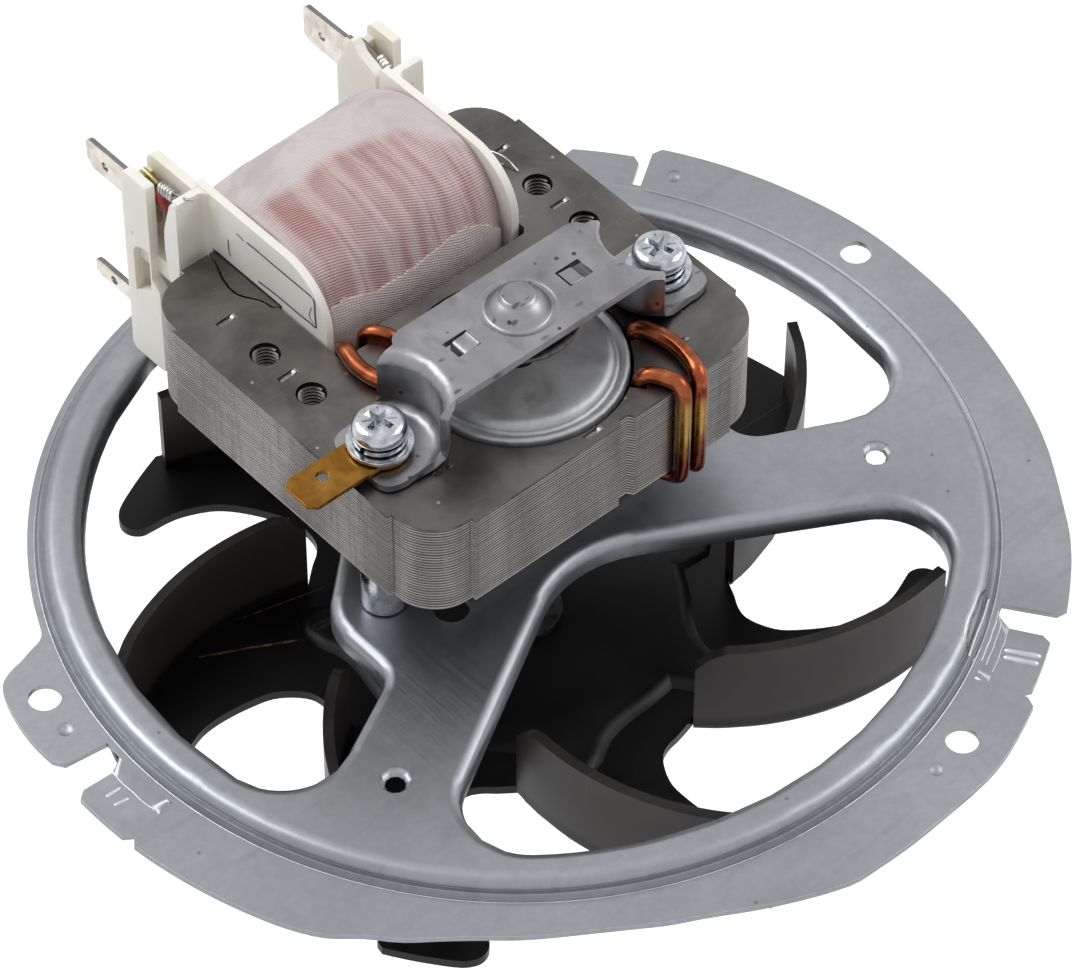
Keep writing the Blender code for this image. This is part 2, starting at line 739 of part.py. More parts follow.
def build_bracket(name, top, surface):
    """Pressed bridge with a domed bearing seat, legs curved round the screws, flat feet."""
    middle = STACK_LOW_Z + STACK_TOP_Z

    def flip(z):
        return z if top else middle - z

    shell = Shell()
    foot_z = STACK_TOP_Z + GAP + BRACKET_T
    outer = []
    for side in (1, -1):
        rows = []
        for angle in (0.0, 30.0, 60.0, 90.0):
            a = math.radians(angle)
            radius = BRACKET_LEG_R + BRACKET_BEND * (1 - math.sin(a))
            rows.append(leg_row(radius, BRACKET_TOP_Z - BRACKET_BEND * (1 - math.cos(a)), side, flip))
        for angle in (0.0, 30.0, 60.0, 90.0):
            a = math.radians(angle)
            radius = BRACKET_LEG_R - FOOT_BEND * (1 - math.cos(a))
            rows.append(leg_row(radius, foot_z + FOOT_BEND * (1 - math.sin(a)), side, flip))
        shell.rows(rows, False)
        foot = [(x, y) for x, y, _ in rows[-1]]
        end = [(side * (FOOT_END_X - 0.0024), foot[-1][1]), (side * (FOOT_END_X - 0.0007), foot[-1][1] - 0.0007),
               (side * FOOT_END_X, foot[-1][1] - 0.0024), (side * FOOT_END_X, foot[0][1] + 0.0024),
               (side * (FOOT_END_X - 0.0007), foot[0][1] + 0.0007), (side * (FOOT_END_X - 0.0024), foot[0][1])]
        hole = circle((side * SCREW_X, SCREW_Y), SCREW_HOLE_R, 16)
        shell.flat(foot + end, [hole], flip(foot_z))
        ring = [(x, y) for x, y, _ in rows[0]]
        x_back, y_back = abs(ring[-1][0]), ring[-1][1]
        corner = bezier((x_back, y_back), (x_back - 0.0006, y_back + 0.0012), (x_back - 0.0012, BRACKET_HALF_W),
                        (x_back - 0.0030, BRACKET_HALF_W), 4)[1:]
        ring += [(side * x, y) for x, y in corner]
        outer += ring if side > 0 else ring[::-1]
    steps = 24
    dome = ((0.0056, 0.0), (0.0052, -0.0002), (0.0046, -0.0003), (0.0043, -0.0001), (0.0040, 0.0006),
            (0.0034, 0.0013), (0.0028, 0.0018), (0.0025, 0.0020), (0.0023, 0.0023), (0.0020, 0.0024))
    rings = [(r, BRACKET_TOP_Z + rise) for r, rise in dome]
    if top:
        shell.flat(circle((0, 0), rings[-1][0], steps), [], flip(rings[-1][1]))
    else:
        # The shaft passes through the lower dome.
        rings = rings[:5] + [(0.0036, BRACKET_TOP_Z + 0.0011)]
    shell.rows([lifted(circle((0, 0), r, steps), flip(z)) for r, z in rings], True)
    holes = [circle((0, 0), rings[0][0], steps)]
    for x in (-0.0099, 0.0096):
        holes.append(box_loop(x - 0.0020, -0.0018, x + 0.0020, 0.0014))
    shell.flat(outer, holes, flip(BRACKET_TOP_Z))
    if top:
        return thicken(name, shell, BRACKET_T, surface, (0.0070, 0.0, BRACKET_TOP_Z))
    return thicken_down(name, shell, BRACKET_T, surface, (0.0070, 0.0, flip(BRACKET_TOP_Z)))


def thicken_down(name, shell, thickness, surface, down_at):
    """As thicken, for a shell whose outer face looks down at the given point."""
    mesh = shell.mesh(name)
    nearest = min(mesh.polygons, key=lambda p: (p.center - Vector(down_at)).length)
    if nearest.normal.z > 0:
        mesh.flip_normals()
    made = add_object(name, mesh, surface)
    solid = made.modifiers.new("thickness", "SOLIDIFY")
    solid.thickness = thickness
    solid.offset = -1.0
    solid.use_even_offset = True
    return settle(made)


def flipped_profile(profile):
    middle = STACK_LOW_Z + STACK_TOP_Z
    return [(r, middle - z) for r, z in reversed(profile)]


def build_bearings(bronze, spring_steel):
    ball = [(SHAFT_R + GAP, 0.0361), (0.0036, 0.0361), (0.0047, 0.0371), (0.0050, 0.0380),
            (0.0047, 0.0389), (0.0036, 0.0397), (SHAFT_R + GAP, 0.0397)]
    keeper = [(0.0082, 0.0398), (0.0060, 0.0398), (0.0053, 0.0370), (0.0056, 0.0367),
              (0.0064, 0.0392), (0.0082, 0.0392)]
    revolve("bearing_top", ball, 16, bronze)
    revolve("bearing_bottom", flipped_profile(ball), 14, bronze)
    revolve("bearing_retainer_top", keeper, 20, spring_steel)
    revolve("bearing_retainer_bottom", flipped_profile(keeper), 16, spring_steel)


# Fixings

def build_screw_stack(side, surfaces):
    """Screw, spring washer and flat washer of one side, and the spacer below the stack."""
    word = "left" if side < 0 else "right"
    centre = (side * SCREW_X, SCREW_Y)
    z = STACK_TOP_Z + GAP + BRACKET_T + GAP
    if side < 0:
        build_earth_tab(z, surfaces["brass"])
        z += EARTH_TAB_T + GAP
    hole = SCREW_R + GAP
    flat = [(hole, z), (WASHER_R, z), (WASHER_R, z + WASHER_T), (hole, z + WASHER_T)]
    revolve("flat_washer_" + word, flat, 22, surfaces["zinc"], centre)
    z += WASHER_T + GAP
    build_spring_washer("spring_washer_" + word, centre, z, surfaces["zinc"])
    z += SPRING_WASHER_T + GAP
    head = [(0.0, SCREW_LOW_Z), (SCREW_R - 0.0004, SCREW_LOW_Z), (SCREW_R, SCREW_LOW_Z + 0.0004), (SCREW_R, z),
            (SCREW_HEAD_R, z), (SCREW_HEAD_R + 0.0001, z + SCREW_HEAD_H * 0.55),
            (SCREW_HEAD_R - 0.0006, z + SCREW_HEAD_H * 0.9), (SCREW_HEAD_R - 0.0016, z + SCREW_HEAD_H),
            (0.0, z + SCREW_HEAD_H)]
    revolve("bracket_screw_" + word, head, 18, surfaces["zinc"], centre)
    low = STEP_H + GAP
    high = STACK_LOW_Z - GAP - BRACKET_T - GAP
    tube = [(hole, low), (SPACER_R, low), (SPACER_R, high), (hole, high)]
    revolve("spacer_" + word, tube, 18, surfaces["zinc"], centre)


def build_spring_washer(name, centre, z, surface):
    """A split ring whose two ends stand slightly apart."""
    shell = Shell()
    rows = []
    steps = 20
    inner = SCREW_R + GAP
    for i in range(steps + 1):
        degrees = 196.0 + 348.0 * i / steps
        tilt = 0.00012 * (i / steps - 0.5)
        row = []
        for radius, level in ((inner, 0.00006), (SPRING_WASHER_R, 0.00006),
                              (SPRING_WASHER_R, SPRING_WASHER_T - 0.00006), (inner, SPRING_WASHER_T - 0.00006)):
            x, y = polar(radius, degrees)
            row.append((x, y, level + tilt))
        rows.append(row)
    shell.rows(rows, True)
    for row in (rows[0], rows[-1]):
        index = shell.add_points(row)
        shell.faces.append(tuple(index))
    mesh = shell.mesh(name)
    shade(mesh)
    made = add_object(name, mesh, surface)
    made.location = (centre[0], centre[1], z)
    return made


def build_earth_tab(z, surface):
    """Brass push-on tab with a ring end under the screw."""
    half = EARTH_TAB_HALF_W
    ring_r = 0.0041
    tip = EARTH_TAB_TIP_X
    turn = math.degrees(math.asin(half / ring_r))
    loop = arc((-SCREW_X, SCREW_Y), ring_r, -180.0 + turn, 180.0 - turn, 14)
    y = SCREW_Y
    loop += [(tip + 0.0012, y + half), (tip, y + half - 0.0010)]
    loop += [(tip, y - half + 0.0010), (tip + 0.0012, y - half)]
    holes = [circle((-SCREW_X, SCREW_Y), SCREW_R + GAP, 16), circle((-0.0336, SCREW_Y + 0.0006), 0.0009, 12)]
    return prism("earth_tab", tidy_loop(loop), holes, z, z + EARTH_TAB_T, surface)


# Rotor

def build_rotor(aluminium, iron, steel):
    bore = SHAFT_R + GAP
    low, high = STACK_LOW_Z, STACK_TOP_Z
    core = [(bore, low + 0.0010), (ROTOR_R, low + 0.0010), (ROTOR_R, high - 0.0013), (bore, high - 0.0013)]
    revolve("rotor_core", core, 28, iron)
    base = high - 0.0010
    cap = [(bore, base), (ROTOR_R, base), (ROTOR_R, high + 0.0003), (0.0146, high + 0.0006),
           (0.0142, high + 0.0007), (0.0138, high + 0.0005), (0.0134, high + 0.0002), (0.0130, high + 0.0004),
           (0.0128, high + 0.0010), (0.0124, high + 0.0014), (0.0118, high + 0.0016), (0.0111, high + 0.0015),
           (bore, high + 0.0014)]
    revolve("rotor_end_ring_top", cap, 40, aluminium)
    top = low + 0.0007
    foot = [(bore, low - 0.0010), (0.0122, low - 0.0010), (0.0132, low - 0.0004), (ROTOR_R, low - 0.0003),
            (ROTOR_R, top), (bore, top)]
    revolve("rotor_end_ring_bottom", foot, 24, aluminium)
    rod = [(0.0, SHAFT_LOW_Z), (SHAFT_R - 0.0004, SHAFT_LOW_Z), (SHAFT_R, SHAFT_LOW_Z + 0.0004),
           (SHAFT_R, SHAFT_TOP_Z - 0.0005), (SHAFT_R - 0.0005, SHAFT_TOP_Z), (0.0, SHAFT_TOP_Z)]
    revolve("rotor_shaft", rod, 20, steel)


# Impeller

def turned(points, degrees):
    c, s = math.cos(math.radians(degrees)), math.sin(math.radians(degrees))
    return [(x * c - y * s, x * s + y * c) for x, y in points]


def vane_angle(t):
    return VANE_START_DEG + (VANE_END_DEG - VANE_START_DEG) * t


def vane_top(t):
    """Height of the vane's top edge: it rises quickly from the inner end."""
    rise = min(1.0, t / 0.11)
    rise = math.sin(rise * math.pi / 2)
    drop = 0.0005 * max(0.0, (t - 0.9) / 0.1)
    return VANE_INNER_TOP_Z + (VANE_TOP_Z - VANE_INNER_TOP_Z) * rise - drop


def arm_edge():
    """Free edge of one arm: outer arc, rounded tip and the concave side, read from the photo."""
    side = ((43.0, -31.4), (40.5, -32.0), (36.4, -32.0), (33.6, -31.2), (30.6, -29.6), (28.0, -27.8),
            (25.7, -25.8), (24.3, -23.3), (23.7, -20.8), (24.2, -18.8), (25.2, -17.0))
    edge = [polar(FAN_R - 0.0008, -46.9)] + arc((0, 0), FAN_R, -46.0, -35.8, 3)
    edge += arc((0.0467, -0.0328), 0.0027, -12.0, 100.0, 4)
    return edge + [(x / 1000.0, y / 1000.0) for x, y in side]


def hub_edge():
    """Foot of the raised hub: seven shallow bays with a spur toward each vane root."""
    bay = ((-71.8, 24.3), (-78.0, 24.0), (-84.5, 23.8), (-91.0, 23.7), (-98.0, 24.2), (-103.6, 25.5),
           (-107.8, 27.7), (-112.5, 29.8), (-117.0, 30.2), (-120.8, 28.9))
    found = []
    for k in range(ARMS):
        found += [polar(r / 1000.0, a - 360.0 * k / ARMS) for a, r in bay]
    return found


def build_fan(surface):
    shell = Shell()
    outline = []
    stations = (0.0, 0.05, 0.11, 0.26, 0.42, 0.58, 0.74, 0.88, 1.0)
    for k in range(ARMS):
        turn = 360.0 * k / ARMS
        rows = []
        for step in range(3):
            a = math.radians(45.0 * step)
            radius = VANE_ARC_R - VANE_BEND * (1 - math.sin(a))
            z = FAN_LOW_Z + VANE_BEND * (1 - math.cos(a))
            ring = []
            for t in stations:
                x, y = polar(radius, vane_angle(t))
                ring.append((VANE_ARC_CENTRE[0] + x, VANE_ARC_CENTRE[1] + y))
            rows.append(lifted(turned(ring, turn), z))
        rows.append([(x, y, vane_top(t)) for (x, y, _), t in zip(rows[-1], stations)])
        shell.rows(rows, False)
        outline += [(x, y) for x, y, _ in rows[0]]
        outline += turned(arm_edge(), turn)
    foot = hub_edge()
    brow = offset_loop(foot, -FAN_HUB_SLOPE)
    middle = offset_loop(foot, -FAN_HUB_SLOPE * 0.5)
    top = FAN_LOW_Z + FAN_HUB_RISE
    shell.rows([lifted(foot, FAN_LOW_Z), lifted(middle, FAN_LOW_Z + FAN_HUB_RISE * 0.6), lifted(brow, top)], True)
    shell.flat(brow, [circle((0, 0), SHAFT_R + GAP, 20)], top)
    shell.flat(tidy_loop(outline), [foot], FAN_LOW_Z)
    mesh = shell.mesh("fan")
    nearest = min(mesh.polygons, key=lambda p: (p.center - Vector((0.0, 0.0150, top))).length)
    if nearest.normal.z > 0:
        mesh.flip_normals()
    made = add_object("fan", mesh, surface)
    solid = made.modifiers.new("thickness", "SOLIDIFY")
    solid.thickness = FAN_T
    solid.offset = -1.0
    solid.use_even_offset = True
    return settle(made)


def build_fan_fixings(zinc, steel):
    bore = SHAFT_R + GAP
    hub_low = FAN_LOW_Z + FAN_HUB_RISE
    hub_high = hub_low + FAN_T
    z = hub_high + GAP
    revolve("fan_washer_upper", [(bore, z), (0.0062, z), (0.0062, z + 0.0010), (bore, z + 0.0010)], 18, zinc)
    z += 0.0010 + GAP
    revolve("fan_collar", [(bore, z), (0.0039, z), (0.0039, z + 0.0052), (0.0034, z + 0.0057),
                           (bore, z + 0.0057)], 16, steel)
    z = hub_low - GAP
    revolve("fan_washer_lower", [(bore, z - 0.0010), (0.0055, z - 0.0010), (0.0055, z), (bore, z)], 18, zinc)
    z -= 0.0010 + GAP
    hexagon = circle((0, 0), 0.0040 / math.cos(math.radians(30)), 6)
    prism("fan_nut", hexagon, [circle((0, 0), bore, 20)], z - 0.0032, z, zinc)


# Coil

def cheek_outline():
    """One cheek of the bobbin, in (y, z), reaching back to the terminal block."""
    low, top = CHEEK_LOW_Z, CHEEK_TOP_Z
    return fillet([
        (CHEEK_FRONT_Y, low, CHEEK_CORNER_R), (WING_Y[1] + 0.0010, low, 0.0006), (WING_Y[1] + 0.0010, top, 0.0006),
        (CHEEK_FRONT_Y, top, CHEEK_CORNER_R)], 15.0)


def inner_wall_outline(side):
    """Inner wall of a terminal block in (y, z): the right one has a cut corner and a sloping top."""
    low = BLOCK_LOW_Z
    if side < 0:
        return fillet([
            (0.0452, low, 0.0), (0.0549, low, 0.0), (0.0549, 0.0412, 0.0014), (0.0452, 0.0412, 0.0)], 30.0)
    return tidy_loop([
        (0.0452, low), (0.0565, low), (0.0565, 0.0346), (0.0538, 0.0407), (0.0533, 0.0413), (0.0528, 0.0413),
        (0.0515, 0.0396), (0.0487, 0.0385), (0.0482, 0.0378), (0.0482, 0.0336), (0.0452, 0.0336)])


def outer_wall_outline():
    return fillet([
        (0.0480, BLOCK_LOW_Z, 0.0004), (BLOCK_END_Y, BLOCK_LOW_Z, 0.0010), (BLOCK_END_Y, BLOCK_TOP_Z, 0.0012),
        (BLOCK_FRONT_Y, BLOCK_TOP_Z, 0.0004), (BLOCK_FRONT_Y, 0.0236, 0.0), (0.0480, 0.0220, 0.0)], 30.0)


def outer_wall_window():
    """Opening in the outer wall, arched at the top, with a sloping sill."""
    return [(0.0499, 0.0211), (0.0534, 0.0188), (0.0534, 0.0262), (0.0526, 0.0277), (0.0512, 0.0283),
            (0.0499, 0.0282)]


def build_bobbin(surface):
    inner = CHEEK_OUTER_X - CHEEK_T
    y0, y1 = CORE_BAR_FRONT_Y - GAP, STACK_BACK_Y + GAP
    z0, z1 = STACK_LOW_Z - GAP, STACK_TOP_Z + GAP
    passage = box_loop(y0, z0, y1, z1)
    w = TUBE_WALL
    tube_outer = rounded_box(y0 - w, z0 - w, y1 + w, z1 + w, 0.0008, 45.0)
    body = prism_x("coil_bobbin", tube_outer, [passage], -inner - 0.0004, inner + 0.0004, surface)
    over = 0.0003
    for side in (-1, 1):
        def wall(name, outline, holes, x0, x1):
            lo, hi = sorted((side * x0, side * x1))
            combine(body, prism_x(name, outline, holes, lo, hi, surface), "UNION")
        wall("cheek", cheek_outline(), [passage], inner, CHEEK_OUTER_X)
        wall("inner_wall", inner_wall_outline(side), [], INNER_WALL_X[0], INNER_WALL_X[1])
        wall("outer_wall", outer_wall_outline(), [outer_wall_window()], OUTER_WALL_X[0], OUTER_WALL_X[1])
        across = (INNER_WALL_X[1] - over, OUTER_WALL_X[0] + over)
        end = box_loop(END_WALL_FRONT_Y, BLOCK_LOW_Z, BLOCK_END_Y - 0.0002, END_WALL_TOP_Z)
        wall("end_wall", end, [], *across)
        wall("bridge", box_loop(0.0448, BRIDGE_Z[0], END_WALL_FRONT_Y + over, BRIDGE_Z[1]), [], *across)
        wall("floor", box_loop(0.0482, BLOCK_LOW_Z, END_WALL_FRONT_Y + over, BLOCK_LOW_Z + 0.0018), [], *across)
        rib = [(WING_Y[0], 0.0246), (0.0463, 0.0258), (0.0470, 0.0300), (0.0469, 0.0350), (0.0455, 0.0402),
               (0.0450, CHEEK_TOP_Z - 0.0004), (WING_Y[0] + 0.0003, CHEEK_TOP_Z - 0.0004), (WING_Y[0], 0.0405)]
        wall("wing_rib", rib, [], WING_TIP_X - 0.0012, WING_TIP_X)
        wing = [(CHEEK_OUTER_X - over, WING_Y[0] - 0.0010), (CHEEK_OUTER_X, WING_Y[0] - 0.0010),
                (CHEEK_OUTER_X + 0.0004, WING_Y[0] - 0.0004), (CHEEK_OUTER_X + 0.0012, WING_Y[0]),
                (WING_TIP_X - 0.0004, WING_Y[0]), (WING_TIP_X - 0.0004, WING_Y[1]), (CHEEK_OUTER_X - over, WING_Y[1])]
        wing = [(side * x, y) for x, y in wing]
        combine(body, prism("wing", wing, [], 0.0246, CHEEK_TOP_Z - 0.0002, surface), "UNION")
    for name, loop, x_mid in terminal_loops():
        slot = offset_loop(loop, GAP)
        lo, hi = x_mid - TERMINAL_T / 2 - GAP, x_mid + TERMINAL_T / 2 + GAP
        combine(body, prism_x("slot_" + name, slot, [], lo, hi, surface), "DIFFERENCE")
    return settle(body)


def terminal_loops():
    """Outline of each terminal in (y, z), and the X of its middle plane."""
    def tab(z0, z1, corner, tail_y):
        tip = TERMINAL_TIP_Y
        return [(tail_y, z0 + 0.0012), (tail_y + 0.0010, z0), (tip - 0.0012, z0), (tip, z0 + corner),
                (tip, z1 - corner * 0.6), (tip - 0.0007, z1), (0.0575, z1), (0.0570, z1 + 0.0004),
                (0.0552, z1 + 0.0004), (0.0545, z1), (tail_y + 0.0010, z1), (tail_y, z1 - 0.0012)]
    return (
        ("terminal_upper_right", tab(0.0311, 0.0374, 0.0010, 0.0492), TERMINAL_X),
        ("terminal_upper_left", tab(0.0315, 0.0364, 0.0010, 0.0500), -TERMINAL_X),
        ("terminal_lower_left", tab(0.0104, 0.0132, 0.0006, 0.0505), -TERMINAL_X),
    )


def build_terminals(surface):
    for name, loop, x_mid in terminal_loops():
        zs = [z for _, z in loop[:5]]
        eye = circle((TERMINAL_TIP_Y - 0.0040, (min(zs) + max(zs)) / 2), 0.0007, 10)
        prism_x(name, loop, [eye], x_mid - TERMINAL_T / 2, x_mid + TERMINAL_T / 2, surface)


def coil_section(half_y, half_z, corner, step_deg=18.0):
    loop = rounded_box(-half_y, -half_z, half_y, half_z, corner, step_deg)
    return [(COIL_CENTRE_Y + y, COIL_CENTRE_Z + z) for y, z in loop]


def build_winding(surface):
    """Copper coil between the cheeks, slightly smaller at its ends."""
    shell = Shell()
    reach = CHEEK_OUTER_X - CHEEK_T - GAP
    grow = GAP + TUBE_WALL + GAP
    inner = rounded_box(CORE_BAR_FRONT_Y - grow, STACK_LOW_Z - grow, STACK_BACK_Y + grow, STACK_TOP_Z + grow,
                        0.0008, 45.0)
    stations = ((-reach, 0.0011), (-reach * 0.86, 0.0002), (0.0, 0.0), (reach * 0.86, 0.0002), (reach, 0.0011))
    loops = []
    for x, inset in stations:
        section = coil_section(COIL_HALF_Y - inset, COIL_HALF_Z - inset, COIL_CORNER_R - inset)
        loops.append((x, section))
    shell.rows([[(x, y, z) for y, z in section] for x, section in loops], True)
    shell.rows([[(x, y, z) for y, z in inner] for x in (-reach, reach)], True)
    ends = Shell()
    for x, section in (loops[0], loops[-1]):
        flat = Shell()
        flat.flat(section, [inner], x)
        first = len(ends.points)
        ends.points += [(p[2], p[0], p[1]) for p in flat.points]
        ends.faces += [tuple(first + i for i in face) for face in flat.faces]
    first = len(shell.points)
    shell.points += ends.points
    shell.faces += [tuple(first + i for i in face) for face in ends.faces]
    mesh = shell.mesh("coil_winding")
    shade(mesh, 40.0)
    return add_object("coil_winding", mesh, surface)


def build_tape(surface):
    """Woven tape round the winding: one turn and an overlapping flap on the rotor side."""
    shell = Shell()
    reach = CHEEK_OUTER_X - CHEEK_T - GAP
    base = COIL_HALF_Y + GAP, COIL_HALF_Z + GAP, COIL_CORNER_R + GAP
    stations = ((-reach, 0.0011), (-reach * 0.86, 0.0002), (0.0, 0.0), (reach * 0.86, 0.0002), (reach, 0.0011))
    lap = TAPE_T + 0.0002
    sheets = []
    for x, inset in stations:
        def ring(extra):
            grown = (base[0] - inset + extra, base[1] - inset + extra, base[2] - inset + extra)
            return coil_section(*grown)
        under, under_out = ring(0.0), ring(TAPE_T)
        over, over_out = ring(lap), ring(lap + TAPE_T)
        count = len(under)
        # Corner 0 of the loop is low on the rotor side; the last corner is high on the rotor side.
        start = count - 3
        order = [(start - i) % count for i in range(count)]
        inner_path = [under[i] for i in order]
        outer_path = [under_out[i] for i in order]
        more = [(start - i) % count for i in range(9)]
        inner_path += [over[i] for i in more]
        outer_path += [over_out[i] for i in more]
        sheets.append([(x, y, z) for y, z in inner_path + outer_path[::-1]])
    return sheets, shell


def finish_tape(surface):
    """The tape's wrap starts and ends at the flap, so its section is one long thin ribbon."""
    sheets, shell = build_tape(surface)
    shell.rows(sheets, True)
    for sheet in (sheets[0], sheets[-1]):
        half = len(sheet) // 2
        index = shell.add_points(sheet)
        for i in range(half - 1):
            shell.faces.append((index[i], index[i + 1], index[-2 - i], index[-1 - i]))
    mesh = shell.mesh("coil_tape")
    shade(mesh, 40.0)
    return add_object("coil_tape", mesh, surface)


def gather(name, members):
    """Empty on the Z axis that carries a group of objects."""
    holder = bpy.data.objects.new(name, None)
    holder.empty_display_size = 0.02
    bpy.context.scene.collection.objects.link(holder)
    for member in members:
        bpy.data.objects[member].parent = holder


def build_all():
    clear_scene()
    plated = material("plate_steel", (0.36, 0.38, 0.41), 0.9, 0.42)
    lamination = material("lamination_steel", (0.16, 0.155, 0.15), 0.8, 0.5)
    bar_steel = material("core_bar_steel", (0.17, 0.16, 0.15), 0.8, 0.5)
    bracket_steel = material("bracket_steel", (0.42, 0.42, 0.43), 0.9, 0.45)
    zinc = material("bright_zinc", (0.70, 0.71, 0.72), 1.0, 0.25)
    brass = material("aged_brass", (0.42, 0.26, 0.06), 1.0, 0.38)
    bronze = material("bearing_bronze", (0.35, 0.24, 0.13), 0.9, 0.5)
    spring_steel = material("retainer_steel", (0.20, 0.20, 0.20), 0.9, 0.45)
    copper = material("shading_copper", (0.60, 0.22, 0.08), 1.0, 0.3)
    aluminium = material("cast_aluminium", (0.45, 0.45, 0.45), 0.9, 0.5)
    shaft_steel = material("shaft_steel", (0.55, 0.55, 0.56), 1.0, 0.28)
    enamel = material("black_enamel", (0.012, 0.012, 0.013), 0.0, 0.4)
    ivory = material("ivory_moulding", (0.72, 0.70, 0.60), 0.0, 0.4)
    winding_copper = material("winding_copper", (0.45, 0.12, 0.08), 0.6, 0.4)
    woven = material("woven_tape", (0.72, 0.62, 0.60), 0.0, 0.6)
    tinned = material("tinned_brass", (0.68, 0.66, 0.60), 1.0, 0.3)
    build_mounting_plate(plated)
    build_stator(lamination)
    build_core_bar(bar_steel)
    front_y = STACK_FRONT_Y - SHADING_WIRE_R - GAP
    rear_y = SHADING_NOTCH_Y + SHADING_WIRE_R + GAP
    coils = (
        ("shading_coil_front_outer", SHADING_SLOT_DEG[0], (0.0154, front_y), -0.0017),
        ("shading_coil_front_inner", SHADING_SLOT_DEG[1], (0.0126, front_y), -0.0008),
        ("shading_coil_rear_outer", SHADING_SLOT_DEG[2], (-0.0157, rear_y), -0.0018),
        ("shading_coil_rear_inner", SHADING_SLOT_DEG[3], (-0.0122, rear_y), 0.0),
    )
    for name, slot, outer, bulge in coils:
        build_shading_coil(name, slot, outer, bulge, copper)
    build_bracket("bearing_bracket_top", True, bracket_steel)
    build_bracket("bearing_bracket_bottom", False, bracket_steel)
    build_bearings(bronze, spring_steel)
    for side in (-1, 1):
        build_screw_stack(side, {"brass": brass, "zinc": zinc})
    build_rotor(aluminium, lamination, shaft_steel)
    build_fan(enamel)
    build_fan_fixings(zinc, shaft_steel)
    build_bobbin(ivory)
    build_winding(winding_copper)
    finish_tape(woven)
    build_terminals(tinned)
    gather("rotor_axis", ("rotor_shaft", "rotor_core", "rotor_end_ring_top", "rotor_end_ring_bottom", "fan",
                          "fan_washer_upper", "fan_collar", "fan_washer_lower", "fan_nut"))
    gather("coil_assembly", ("coil_bobbin", "coil_winding", "coil_tape", "coil_core_bar", "terminal_upper_right",
                             "terminal_upper_left", "terminal_lower_left"))


build_all()
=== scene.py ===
"""Looks for the oven fan motor: materials, fine detail, floor, light and camera.

Shapes are given in mm, with MM to turn them into metres. Places in materials are in metres.
"""
import random
from math import cos, hypot, pi, radians, sin, sqrt, tau

import bmesh
import bpy
import numpy as np
from mathutils import Matrix, Vector
from mathutils.bvhtree import BVHTree


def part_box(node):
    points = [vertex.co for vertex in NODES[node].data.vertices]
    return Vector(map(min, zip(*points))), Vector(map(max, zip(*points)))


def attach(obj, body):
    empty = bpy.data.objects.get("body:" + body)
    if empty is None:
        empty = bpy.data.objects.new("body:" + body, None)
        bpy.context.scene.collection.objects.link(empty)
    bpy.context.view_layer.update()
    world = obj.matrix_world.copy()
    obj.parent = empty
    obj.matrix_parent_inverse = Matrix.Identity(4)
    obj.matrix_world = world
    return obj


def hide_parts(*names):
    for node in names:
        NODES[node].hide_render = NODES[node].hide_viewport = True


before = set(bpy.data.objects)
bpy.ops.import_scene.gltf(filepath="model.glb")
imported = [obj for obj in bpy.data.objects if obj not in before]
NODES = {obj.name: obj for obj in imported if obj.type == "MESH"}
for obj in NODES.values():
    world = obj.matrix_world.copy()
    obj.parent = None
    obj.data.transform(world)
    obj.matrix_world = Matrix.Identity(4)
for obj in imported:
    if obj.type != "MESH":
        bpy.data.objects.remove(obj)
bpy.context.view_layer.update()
MM = 0.001
MICRON = 1e-6

SHEETS = 31
STACK_LOW, STACK_TOP = 15.3, 30.9
SHEET_PITCH = (STACK_TOP - STACK_LOW) / SHEETS
WEFT_PITCH, WARP_PITCH = 0.385, 0.46


# Node graphs

def linear(value):
    """Linear value of an 8-bit screen value."""
    v = value / 255
    return v / 12.92 if v <= 0.04045 else ((v + 0.055) / 1.055) ** 2.4


def tone(value):
    """A socket as it is; a colour with alpha, from 8-bit values or from linear ones up to 1."""
    if isinstance(value, bpy.types.NodeSocket):
        return value
    if max(value) > 1:
        value = [linear(v) for v in value]
    return (*value, 1)


class Graph:
    """A node tree with short calls for its nodes."""

    def __init__(self, tree):
        self.tree = tree

    def node(self, kind, inputs=None, **settings):
        made = self.tree.nodes.new(kind)
        for key, value in settings.items():
            setattr(made, key, value)
        for key, value in (inputs or {}).items():
            self.plug(made.inputs[key], value)
        return made

    def plug(self, socket, value):
        if isinstance(value, bpy.types.NodeSocket):
            self.tree.links.new(value, socket)
        elif value is not None:
            socket.default_value = value

    def span(self, value, low, high, to_low=0, to_high=1):
        """The value from low to high mapped to another range; low may be the higher one."""
        made = self.node("ShaderNodeMapRange", {"Value": value, "From Min": low, "From Max": high,
                                                "To Min": to_low, "To Max": to_high})
        return made.outputs["Result"]

    def calc(self, kind, a, b=None):
        return self.node("ShaderNodeMath", {0: a, 1: b}, operation=kind).outputs[0]

    def times(self, first, *factors):
        for factor in factors:
            first = self.calc("MULTIPLY", first, factor)
        return first

    def seen(self):
        """1 where the camera sees the surface, also in glass and in a reflection."""
        rays = self.node("ShaderNodeLightPath").outputs
        found = self.calc("MAXIMUM", rays["Is Camera Ray"], rays["Is Transmission Ray"])
        return self.calc("MAXIMUM", found, rays["Is Glossy Ray"])


